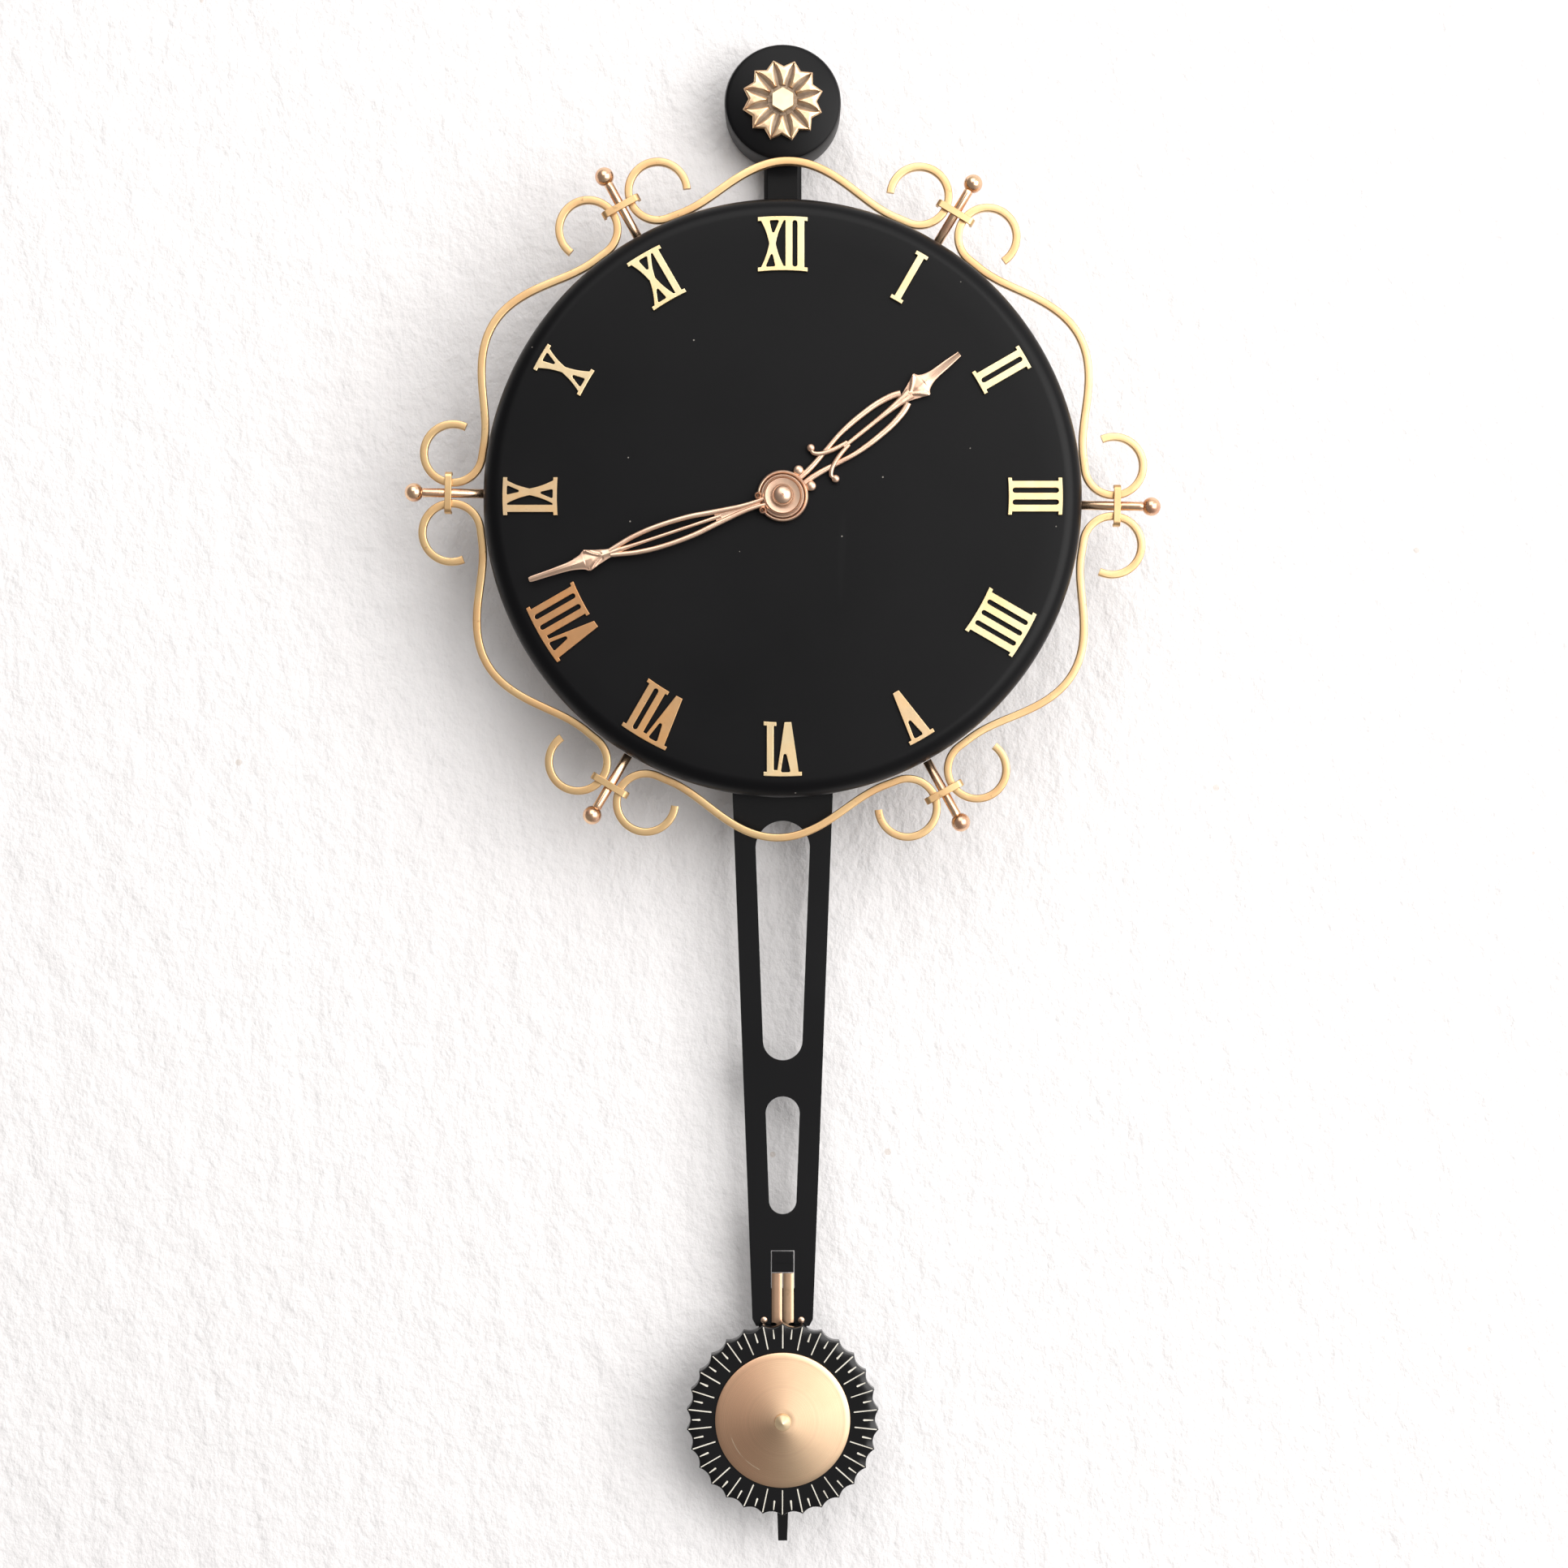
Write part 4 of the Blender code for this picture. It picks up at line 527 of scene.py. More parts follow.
def spun_brass():
    """Brass brushed in circles on a lathe, with one long broken scratch. Its left side is painted rosier
    and a little darker, as painted shade away from the light at the right.
    """
    paint = Paint("spun_brass", metallic=1.0)
    radius = paint.spread()
    lines = paint.node("ShaderNodeTexNoise", {"noise_dimensions": "1D"},
                       {"W": radius, "Scale": 1 / (0.16 * MM), "Detail": 4.0, "Roughness": 0.7})
    bands = paint.node("ShaderNodeTexNoise", {"noise_dimensions": "1D"},
                       {"W": radius, "Scale": 1 / (1.7 * MM), "Detail": 2.0})
    clouds = paint.noise(16 * MM, 3)
    left = paint.along("X") + 4 * MM * clouds
    lower_left = (left < -6 * MM) * (paint.along("Y") < -5 * MM)
    scratch_radius = 20.3 * MM
    scratch_half = 0.1 * MM
    off_track = (radius - scratch_radius) * (radius - scratch_radius)
    broken = paint.noise(7 * MM, 2).faded(0.38, 0.46)
    scratch = (off_track < scratch_half ** 2) * lower_left * broken
    pale = paint.mixed(clouds.faded(0.35, 0.7), (0.80, 0.58, 0.38), (0.75, 0.53, 0.34))
    # Painted shade: the left side takes a rosier, slightly darker tone, for the shade away from the light
    # at the right.
    tone = paint.mixed(left.faded(9 * MM, -14 * MM), pale, (0.86, 0.52, 0.33))
    tone = paint.mixed(bands.faded(0.45, 0.75) * 0.2, tone, (0.66, 0.40, 0.26))
    tone = paint.mixed(lines.faded(0.40, 0.62) * 0.42, tone, (0.46, 0.28, 0.17))
    paint.give("Base Color", paint.mixed(scratch * 0.7, tone, (0.98, 0.86, 0.66)))
    paint.give("Roughness", 0.30 + lines * 0.12 + scratch * 0.2)
    paint.give("Anisotropic", 0.62)
    paint.give("Normal", paint.bump(lines, 0.014 * MM))
    return paint.material


def zinc_steel():
    """Bright zinc plating with a faint spangle."""
    paint = Paint("zinc_steel", metallic=1.0)
    spangle = paint.node("ShaderNodeTexVoronoi", {"feature": "SMOOTH_F1"},
                         {"Vector": paint.place(), "Scale": 1 / (2.4 * MM)})
    drawn = paint.noise(0.7 * MM, 3, 0.6, (1, 0.1, 1))
    paint.give("Base Color", paint.mixed(spangle, (0.62, 0.63, 0.65), (0.43, 0.43, 0.44)))
    paint.give("Roughness", 0.28 + drawn * 0.18)
    paint.give("Normal", paint.bump(drawn, 0.008 * MM))
    return paint.material


def copper_winding():
    """Turn upon turn of enamelled copper wire."""
    paint = Paint("copper_winding", metallic=1.0)
    sockets = {"Vector": paint.place(), "Scale": 1 / (0.9 * MM), "Distortion": 0.6, "Detail": 1.0}
    turns = paint.node("ShaderNodeTexWave", {"bands_direction": "Y"}, sockets)
    paint.give("Base Color", paint.mixed(turns, (0.32, 0.10, 0.04), (0.72, 0.31, 0.14)))
    paint.give("Roughness", 0.24 + turns * 0.12)
    paint.give("Normal", paint.bump(turns, 0.08 * MM))
    return paint.material


def leaf_brass():
    """Rolled brass strip, rosier on its left leaf, brushed across."""
    paint = Paint("rolled_leaf_brass", metallic=1.0)
    side = paint.along("X").faded(-0.4 * MM, 0.4 * MM)
    brushed = paint.noise(0.5 * MM, 3, 0.6, (0.06, 1, 1))
    dirt = paint.noise(3 * MM, 4).faded(0.6, 0.8)
    tone = paint.mixed(side, (0.60, 0.38, 0.25), (0.63, 0.42, 0.27))
    paint.give("Base Color", paint.mixed(dirt * 0.5, tone, (0.36, 0.24, 0.14)))
    paint.give("Roughness", 0.26 + brushed * 0.16)
    paint.give("Normal", paint.bump(brushed, 0.01 * MM))
    return paint.material


def cell_sleeve(shoulder):
    """A printed cell: a dark sleeve with a copper-coloured band at the end above the shoulder height."""
    paint = Paint("cell_sleeve")
    height = paint.along("Z")
    band = height > shoulder
    print_grain = paint.noise(0.4 * MM, 2)
    sleeve = paint.mixed(paint.noise(20 * MM, 3), (0.025, 0.07, 0.16), (0.035, 0.10, 0.21))
    paint.give("Base Color", paint.mixed(band, sleeve, (0.72, 0.36, 0.18)))
    paint.give("Metallic", band * 0.85)
    paint.give("Roughness", 0.26 + print_grain * 0.1)
    paint.give("Normal", paint.bump(print_grain, 0.004 * MM))
    return paint.material


def cream_fill():
    """Cream paint wiped into the engraved lines of the disc, broken and grubby here and there."""
    paint = Paint("cream_fill", roughness=0.6)
    wear = paint.noise(0.8 * MM, 4, 0.65)
    grime = paint.noise(7 * MM, 3).faded(0.45, 0.7)
    clean = paint.mixed(wear, (0.86, 0.83, 0.74), (0.62, 0.58, 0.49))
    paint.give("Base Color", paint.mixed(grime * 0.6, clean, (0.42, 0.38, 0.31)))
    paint.give("Roughness", 0.5 + wear * 0.2)
    paint.give("Normal", paint.bump(wear, 0.03 * MM))
    return paint.material


def plaster():
    """Rolled white plaster. It is clear from behind and casts no shadow, which shows the clock's back."""
    paint = Paint("plaster", roughness=0.85)
    lumps = paint.noise(16 * MM, 5, 0.62, (1, 1, 0.75))
    stipple = paint.noise(3.5 * MM, 3)
    patch = paint.noise(160 * MM, 3)
    spots = paint.specks(46 * MM, 1.3 * MM)
    white = paint.mixed(patch, (0.86, 0.845, 0.845), (0.81, 0.79, 0.79))
    paint.give("Base Color", paint.mixed(spots * 0.35, white, (0.52, 0.40, 0.30)))
    paint.give("Specular IOR Level", 0.2)
    relief = paint.bump(stipple, 0.35 * MM, paint.bump(lumps, 2.6 * MM))
    paint.give("Normal", relief)
    geometry = paint.node("ShaderNodeNewGeometry", output=6)
    shadow = paint.node("ShaderNodeLightPath", output=1)
    clear = paint.node("ShaderNodeBsdfTransparent")
    seen = Value(paint, paint.shader.outputs[0])
    either = paint.node("ShaderNodeMath", {"operation": "MAXIMUM"}, {0: geometry, 1: shadow})
    whole = paint.node("ShaderNodeMixShader", {}, {0: either, 1: seen, 2: clear})
    paint.tree.links.new(whole.socket, paint.tree.nodes["Material Output"].inputs[0])
    return paint.material


SATIN = lacquer("satin_lacquer", 0.37, 0.17)
GLOSS = lacquer("gloss_lacquer", 0.2, 0.38)
PLASTIC = moulded_plastic()
WIRE = brass("wire_brass_drawn", (0.80, 0.55, 0.28), (0.69, 0.43, 0.21), (0.26, 0.14, 0.07), 0.33)
BALL = brass("ball_brass", (0.88, 0.60, 0.38), (0.74, 0.42, 0.28), (0.30, 0.16, 0.11), 0.22, 7 * MM)
ROSE = brass("rose_brass_pressed", (0.79, 0.55, 0.40), (0.66, 0.42, 0.30), (0.38, 0.20, 0.15), 0.3,
             9 * MM, (0.55, 0.78), 0.45)
PALE = brass("pale_brass", (0.95, 0.76, 0.50), (0.90, 0.68, 0.42), (0.45, 0.30, 0.18), 0.36,
             9 * MM, (0.7, 0.85))
LEAF = leaf_brass()
PATINA = patinated_brass()
SPUN = spun_brass()
STEEL = zinc_steel()
WINDING = copper_winding()
CREAM = cream_fill()


# Hanger cap, rosette and bolt
CAP_WALL = 2.0 * MM
CAP_CHAMFER = 2.0 * MM
BOLT_BORE = 2.3 * MM
BOLT_SHANK = 2.0 * MM
WASHER_FLOOR = 1.6 * MM


def make_cap():
    front = front_of("hanger_cap")
    back = back_of("hanger_cap")
    wall = CAP_WALL
    chamfer = CAP_CHAMFER
    profile = [
        (BOLT_BORE, front),
        (CAP_RADIUS - chamfer, front),
        (CAP_RADIUS - chamfer * 0.25, front - chamfer * 0.35),
        (CAP_RADIUS, front - chamfer),
        (CAP_RADIUS, back),
        (CAP_RADIUS - wall, back),
        (CAP_RADIUS - wall, front - wall),
        (BOLT_BORE, front - wall),
    ]
    notch_half = half_width("rosette_bolt") + 3.0 * MM
    below = -CAP_RADIUS - wall
    notch = both_sides([(notch_half, below), (notch_half, -CAP_RADIUS / 2)])
    shell = combined(turned(profile, 128, hollow=True), "DIFFERENCE",
                     plate(notch, 0, front_of("frame_strap") + GAP))
    cap = add("cap_shell", shell, SATIN, "case", "black_lacquer", "hanger_cap")
    soften(cap, 0.25 * MM, 3)


ROSETTE_PETALS = 12
ROSETTE_RADIUS = 15.5 * MM
ROSETTE_NOTCH_RADIUS = 12.9 * MM
ROSETTE_WELL_RADIUS = 5.9 * MM
ROSETTE_GROOVE_END = 14.6 * MM


def rosette_edge(phase):
    """The star's edge, straight from each tip at phase 0 to the notch at half a petal."""
    half = math.pi / ROSETTE_PETALS
    tip, notch = ROSETTE_RADIUS, ROSETTE_NOTCH_RADIUS
    return tip * notch * math.sin(half) / (tip * math.sin(phase) + notch * math.sin(half - phase))


def rosette_height(radius, edge, phase):
    """Height over the rosette's back and how deep in a groove the point lies, from 0 to 1."""
    half = math.pi / ROSETTE_PETALS
    out = (radius - ROSETTE_WELL_RADIUS) / (ROSETTE_GROOVE_END - ROSETTE_WELL_RADIUS)
    groove_half = half * max(0.0, 1 - out) ** 0.85
    share = max(0.0, 1 - phase / groove_half) if groove_half > 0 else 0.0
    shoulder = 3.2 * MM - 0.9 * MM * max(0.0, out - 0.35) ** 1.3
    inner = (2.75 + 0.45 * min(1.0, max(0.0, out) / 0.35)) * MM
    panel = min(shoulder, inner) + 0.18 * MM * math.sin(math.pi * min(1.0, phase / half) / 2)
    lip = min(1.0, max(0.0, (edge - radius) / (0.9 * MM)))
    panel -= 0.55 * MM * (1 - lip) ** 2
    groove = (1.15 - 0.35 * max(0.0, out)) * MM * share ** 0.8
    return min(panel, 3.2 * MM) - groove, share


def make_rosette():
    """A pressed star of twelve petals with a groove between each two and a flat well for the bolt."""
    base = back_of("rosette")
    petal_steps = 24
    radial_steps = 26
    centre = middle_of("rosette_bolt")
    tips = [vertex.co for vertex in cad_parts["rosette"].data.vertices]
    tip = max(tips, key=lambda point: math.hypot(point.x - centre[0], point.z - centre[1]))
    turn = bearing((tip.x, tip.z), centre)
    steps = ROSETTE_PETALS * petal_steps
    half = math.pi / ROSETTE_PETALS
    rings = [[] for _ in range(radial_steps + 5)]
    patina = [[] for _ in rings]
    for i in range(steps):
        angle = turn + 360 * i / steps
        phase = abs((math.radians(360 * i / steps) + half) % (2 * half) - half)
        edge = rosette_edge(phase)
        column = [(BOLT_BORE, 0, 1), (edge - 0.8 * MM, 0, 0.2)]
        for k in range(radial_steps + 1):
            radius = edge + (ROSETTE_WELL_RADIUS - edge) * k / radial_steps
            height, share = rosette_height(radius, edge, phase)
            column.append((radius, height, share ** 0.7))
        column += [(ROSETTE_WELL_RADIUS - 0.35 * MM, WASHER_FLOOR, 0.8), (BOLT_BORE, WASHER_FLOOR, 0.8)]
        for ring, marks, (radius, height, dirt) in zip(rings, patina, column):
            x, z = polar(angle, radius, centre)
            ring.append((x, -(base + height), z))
            marks.append(dirt)
    shape = ringed(rings)
    rosette = add("rosette_relief", shape, PATINA, "case", "rosette_brass", "rosette", angle=50)
    dirt = rosette.data.attributes.new("patina", "FLOAT", "POINT")
    dirt.data.foreach_set("value", [value for ring in patina for value in ring])


def make_bolt():
    front = front_of("rosette_bolt")
    corner = half_height("rosette_bolt")
    centre = middle_of("rosette_bolt")
    seat = back_of("rosette") + WASHER_FLOOR + GAP
    prism = plate(circle(centre, corner, 6), seat, front)
    shank = rod(BOLT_SHANK, back_of("rosette_bolt"), (seat + front) / 2, 32, centre)
    hexagon = combined(prism, "UNION", shank)
    bolt = add("bolt_head", hexagon, PALE, "case", "rosette_brass", "rosette_bolt")
    soften(bolt, 0.28 * MM, 3)


# Dial pan
DIAL_WALL = 1.5 * MM
DIAL_ROLL = 7.0 * MM
DIAL_BORE = 4.0 * MM


def make_dial():
    """A shallow pan with a rolled edge."""
    front = front_of("dial_pan")
    back = back_of("dial_pan")
    lip = 0.4 * MM
    corner = (DIAL_RADIUS - DIAL_ROLL, front - DIAL_ROLL)
    profile = [(DIAL_BORE, front)]
    profile += [(DIAL_RADIUS * share, front) for share in (0.3, 0.6, 0.85)]
    profile += arc(corner, DIAL_ROLL, 0, 90, 14)
    profile += [(DIAL_RADIUS, back + lip), (DIAL_RADIUS - lip, back), (DIAL_RADIUS - DIAL_WALL, back)]
    profile += arc(corner, DIAL_ROLL - DIAL_WALL, 90, 0, 8)
    profile += [(DIAL_BORE, front - DIAL_WALL)]
    shape = turned(profile, 240, hollow=True, centre=DIAL)
    add("dial_shell", shape, SATIN, "case", "black_lacquer", "dial_pan")


# Numerals
BAR = 1.5 * MM
STEM = 2.6 * MM
SLOT = 1.8 * MM
SERIF = 1.2 * MM
HAIRLINE = 1.4 * MM
WAIST = 2.4 * MM
NUMERAL_HEIGHT = 20.0 * MM
NUMERAL_INSET = 17.8 * MM
X_BOW = 0.35 * MM
V_SLIT_DROP = 0.8 * MM
LETTER_WIDTHS = {"I": STEM, "V": 8.0 * MM, "X": 8.4 * MM}
LETTER_GAPS = {"II": SLOT, "VI": 1.2 * MM, "XI": 0.6 * MM, "IX": 0.6 * MM}
# Painted light: each numeral's tone stands for the light on it, pale yellow on the right and top where
# the light catches, orange to brown at the lower left in shade.
YELLOW = (0.98, 0.82, 0.50)
WARM_GOLD = (0.97, 0.76, 0.46)
GOLD = (0.88, 0.64, 0.38)
ORANGE = (0.76, 0.46, 0.23)
BROWN = (0.71, 0.38, 0.18)
NUMERAL_PAINTED_LIGHT_TONES = (
    YELLOW, YELLOW, YELLOW, YELLOW, YELLOW, GOLD,
    WARM_GOLD, ORANGE, BROWN, GOLD, WARM_GOLD, YELLOW,
)


def letter_spans(word):
    """Each letter's left and right edge, with the whole word centred."""
    spans = []
    place = 0
    for i, letter in enumerate(word):
        place += LETTER_GAPS[word[i - 1:i + 1]] if i else 0
        spans.append((letter, place, place + LETTER_WIDTHS[letter]))
        place += LETTER_WIDTHS[letter]
    return [(letter, left - place / 2, right - place / 2) for letter, left, right in spans]


def run(start, end, steps=8, bow=0.0):
    """Points from start up to but not including end, bowed to the left of the way by up to bow."""
    (x0, z0), (x1, z1) = start, end
    length = math.hypot(x1 - x0, z1 - z0)
    across = (-(z1 - z0) / length, (x1 - x0) / length)
    points = []
    for i in range(steps):
        share = i / steps
        swell = bow * math.sin(math.pi * share)
        x = x0 + (x1 - x0) * share + across[0] * swell
        z = z0 + (z1 - z0) * share + across[1] * swell
        points.append((x, z))
    return points


def v_edges(left, right, height):
    """The V's left and right edge at a height."""
    low = -NUMERAL_HEIGHT / 2
    high = NUMERAL_HEIGHT / 2 - BAR
    share = (height - low) / (high - low)
    middle = (left + right) / 2
    foot = STEM / 2
    return middle - foot + (left - middle + foot) * share, middle + foot + (right - middle - foot) * share


def numeral_outline(spans):
    """The outer edge, clockwise from the top left."""
    top = NUMERAL_HEIGHT / 2
    inside = top - BAR
    first, left, first_right = spans[0]
    last, last_left, right = spans[-1]
    waist = WAIST / 2
    outline = run((left - SERIF, top), (right + SERIF, top), 14)
    outline += [(right + SERIF, top), (right + SERIF, inside)]
    if last == "X":
        middle = ((last_left + right) / 2 + waist, 0)
        outline += run((right, inside), middle, 6, -X_BOW)
        outline += run(middle, (right, -inside), 6, -X_BOW)
    elif last == "V":
        outline += run((right, inside), (v_edges(last_left, right, -top)[1], -top), 6)
    else:
        outline.append((right, inside))
    if last != "V":
        outline += [(right, -inside), (right + SERIF, -inside)]
        foot_left = left if first != "V" else spans[1][1]
        serif = SERIF if first != "V" else SERIF * 0.8
        outline += run((right + SERIF, -top), (foot_left - serif, -top), 14)
        outline += [(foot_left - serif, -top), (foot_left - serif, -inside), (foot_left, -inside)]
    if first == "X":
        middle = ((left + first_right) / 2 - waist, 0)
        outline = outline[:-1]
        outline += run((left, -inside), middle, 6, -X_BOW)
        outline += run(middle, (left, inside), 6, -X_BOW)
    if first == "V":
        if last != "V":
            slit_top = inside - V_SLIT_DROP
            outline += [(spans[1][1], slit_top), (v_edges(left, first_right, slit_top)[1], slit_top)]
        outline += [(edge, -top) for edge in reversed(v_edges(left, first_right, -top))]
    outline += [(left, inside), (left - SERIF, inside)]
    return outline


def x_windows(left, right):
    """The X's upper and lower windows, between its broad and its thin stroke."""
    inside = NUMERAL_HEIGHT / 2 - BAR
    middle = (left + right) / 2
    broad = left + STEM * 1.2
    upper = [(broad, inside), (right - HAIRLINE * 1.2, inside), (middle + 0.2 * MM, 3.0 * MM)]
    lower = [(-x + 2 * middle, -z) for x, z in upper]
    return [rounded(upper, 0.45 * MM), rounded(lower, 0.45 * MM)]


def slot_window(middle, inside):
    upper = arc((middle, inside - SLOT / 2), SLOT / 2, -90, 90, 10)
    lower = arc((middle, -inside + SLOT / 2), SLOT / 2, 90, 270, 10)
    return upper + lower


def numeral_windows(spans):
    inside = NUMERAL_HEIGHT / 2 - BAR
    windows = []
    for letter, left, right in spans:
        if letter == "X":
            windows += x_windows(left, right)
        if letter == "V":
            corners = [(left + STEM * 1.15, inside), (right - HAIRLINE, inside)]
            foot = (v_edges(left, right, 0)[1] - HAIRLINE - 0.2 * MM, -0.8 * MM)
            windows.append(rounded([*corners, foot], 0.6 * MM))
    for (letter, left, edge), (following, next_edge, right) in zip(spans, spans[1:]):
        pair = letter + following
        if pair == "II":
            windows.append(slot_window((edge + next_edge) / 2, inside))
        if pair in ("XI", "IX"):
            stem, x_edge = (next_edge, edge) if pair == "XI" else (edge, next_edge)
            x_middle = (left + edge) / 2 if pair == "XI" else (next_edge + right) / 2
            side = math.copysign(1, stem - x_middle)
            waist = (x_middle + side * WAIST / 2, 0)
            reach = inside - 0.1 * MM
            window = [(stem, reach)]
            window += run((x_edge, reach), waist, 6, -X_BOW * side)
            window += run(waist, (x_edge, -reach), 6, -X_BOW * side)
            windows.append(window + [(x_edge, -reach), (stem, -reach)])
    return windows


def bent(points, radius):
    """Carries straight bars onto circles round the dial's middle."""
    return [(x, math.sqrt((radius + z) ** 2 - x ** 2) - radius) for x, z in points]


def make_numerals():
    radius = DIAL_RADIUS - NUMERAL_INSET
    for i, word in enumerate(NUMERALS):
        node = f"numeral_{i or 12:02d}"
        spans = letter_spans(word)
        centre = polar(30 * i, radius, DIAL)
        loops = [numeral_outline(spans), *numeral_windows(spans)]
        loops = [turned_to(bent(loop, radius), 30 * i, centre) for loop in loops]
        shape = plate(loops[0], back_of(node), front_of(node), loops[1:])
        paint = numeral_brass(f"stamped_brass_{i or 12:02d}", NUMERAL_PAINTED_LIGHT_TONES[i])
        piece = add("stamped_" + node, shape, paint, "case", "numeral_brass", node)
        soften(piece, 0.2 * MM, 3)


# Scroll ring
CURL_RADIUS = 10.9 * MM
CURL_SWEEP = 288.0
WIRE_REST = 4.25 * MM
WIRE_CREST = 13.0 * MM
WIRE_RADIUS = DIAL_RADIUS + 0.6 * MM + WIRE_WIDTH / 2
CURL_CENTRE = WIRE_RADIUS + CURL_RADIUS
ROD_RADIUS = 1.7 * MM
ROD_GAP = 0.75 * MM
CURL_OFFSET = ROD_RADIUS + ROD_GAP + WIRE_WIDTH / 2 + CURL_RADIUS
BALL_RADIUS = 3.5 * MM
BALL_REACH = 26.4 * MM
CLASP_THICKNESS = 1.2 * MM
CLASP_WIDTH = 2.6 * MM
CLASP_BEND = 1.9 * MM
RING_COUNT = 6


def scroll_half():
    """Half of one wire, from the open end of its curl to the crest, with a finial at angle 0."""
    middle_angle = math.degrees(math.asin(CURL_OFFSET / CURL_CENTRE))
    centre = polar(middle_angle, CURL_CENTRE)
    end = 180 + middle_angle
    path = arc(centre, CURL_RADIUS, end + CURL_SWEEP, end, 60)
    half_turn = 180 / RING_COUNT
    leave = middle_angle + math.degrees(WIRE_REST / WIRE_RADIUS)
    path += [polar(middle_angle + (leave - middle_angle) * share, WIRE_RADIUS) for share in (0.5, 1)]
    steps = 28
    for i in range(1, steps + 1):
        share = i / steps
        swing = WIRE_CREST * (1 - math.cos(math.pi * share)) / 2
        path.append(polar(leave + (half_turn - leave) * share, WIRE_RADIUS + swing))
    return path


def make_scroll_ring():
    half = scroll_half()
    sector = 360 / RING_COUNT
    whole = half + turned_to(mirrored(reversed(half)), sector)[1:]
    reach = WIRE_WIDTH / 2
    square = [(-reach, WIRE_BACK), (reach, WIRE_BACK), (reach, WIRE_FRONT), (-reach, WIRE_FRONT)]
    section = rounded(square, 0.45 * MM, 4)
    for i in range(RING_COUNT):
        angle = balance_bearing(f"finial_{i + 1}", DIAL)
        path = [(x, z, 1.0) for x, z in turned_to(whole, angle, DIAL)]
        wire = swept(path, section)
        add(f"drawn_wire_{i + 1}", wire, WIRE, "case", "wire_brass", f"scroll_wire_{i + 1}", angle=50)
        make_finial(i + 1, angle)
        make_clasp(i + 1, angle)


def stood_out(shape, angle):
    """A shape turned about Y at the origin, stood up along the ray at an angle from the dial's middle."""
    stand = Matrix.Rotation(math.radians(angle), 4, "Y") @ Matrix.Rotation(math.radians(-90), 4, "X")
    place = Matrix.Translation((DIAL[0], -WIRE_DEPTH, DIAL[1])) @ stand
    bmesh.ops.transform(shape, matrix=place, verts=shape.verts)
    return shape


def make_finial(number, angle):
    """A turned rod with a ball on its end and a small fillet where they meet."""
    start = DIAL_RADIUS + GAP
    middle = DIAL_RADIUS + BALL_REACH
    underside = middle - BALL_RADIUS
    profile = [(0, start), (ROD_RADIUS - 0.2 * MM, start), (ROD_RADIUS, start + 0.2 * MM)]
    profile += [(ROD_RADIUS, underside - 1.0 * MM), (ROD_RADIUS + 0.1 * MM, underside)]
    profile += arc((0, middle), BALL_RADIUS, 152, 0, 24)[:-1]
    profile.append((0, middle + BALL_RADIUS))
    shape = stood_out(turned(profile, 40), angle)
    add(f"turned_finial_{number}", shape, BALL, "case", "wire_brass", f"finial_{number}", angle=45)


def make_clasp(number, angle):
    """A flat strap across the front of both curls and the rod, bent back round the wires."""
    thick = CLASP_THICKNESS
    reach = ROD_RADIUS + ROD_GAP + WIRE_WIDTH + 1.25 * MM + thick
    front = ROD_RADIUS + GAP + thick
    tip = -WIRE_WIDTH / 2
    corner = (reach - CLASP_BEND, front - CLASP_BEND)
    half = [(0, front)] + arc(corner, CLASP_BEND, 0, 90, 8)
    half += [(reach, tip), (reach - thick, tip)]
    half += arc(corner, CLASP_BEND - thick, 90, 0, 6) + [(0, front - thick)]
    middle = CURL_CENTRE + 0.5 * MM
    shape = plate(both_sides(half), middle - CLASP_WIDTH / 2, middle + CLASP_WIDTH / 2)
    bmesh.ops.transform(shape, matrix=Matrix.Rotation(math.pi, 4, "Y"), verts=shape.verts)
    shape = stood_out(shape, angle)
    clasp = add(f"bent_clasp_{number}", shape, WIRE, "case", "wire_brass", f"clasp_{number}")
    soften(clasp, 0.22 * MM, 2)


# Hands, drawn upright round the origin. Their stations and strands are in millimetres.
HAND_THICKNESS = 1.5 * MM
STRAND_EDGE = 0.75 * MM
STRAND_CROWN = HAND_THICKNESS - STRAND_EDGE


def blade(stations, back, height, steps=8, across=18):
    """A closed relief between a flat back and height(z, share across), for (half width, z) stations."""
    rows = []
    for half, z in eased(stations, steps):
        top = []
        for k in range(across + 1):
            share = -1 + 2 * k / across
            top.append((half * share * MM, -height(z, share), z * MM))
        under = [(half * MM, -back, z * MM), (-half * MM, -back, z * MM)]
        rows.append(top + under)
    return ringed(rows, closed=False)


def dome(centre, radius, back, front, steps=24):
    """A round button whose top swells to the front."""
    swell = crowned(radius, front, (front - back) * 0.55, (0, 20, 40, 58, 74, 90))
    shape = turned(swell + [(radius, back), (0, back)], steps)
    bmesh.ops.translate(shape, verts=shape.verts, vec=(centre[0] * MM, 0, centre[1] * MM))
    return shape


def arrow_height(z, share, foot, barb, back):
    """The pressed head of a hand: ribs that run out to the barbs, and a ridge that rises from them."""
    side = abs(share)
    out = (z - foot) / (barb - foot)
    rib_place = min(1.0, max(0.0, out))
    rib = max(0.0, 1 - abs(side - rib_place) / 0.34) if out < 1.08 else 0.0
    ridge = max(0.0, 1 - side / 0.8) * min(1.0, max(0.0, (z - foot) / 4.0))
    flat = back + HAND_THICKNESS * 0.55
    swell = HAND_THICKNESS * 0.45 * max(rib, ridge * (0.85 if out < 1.2 else 1.0))
    return flat + swell * (1 if side < 0.999 else 0.6)


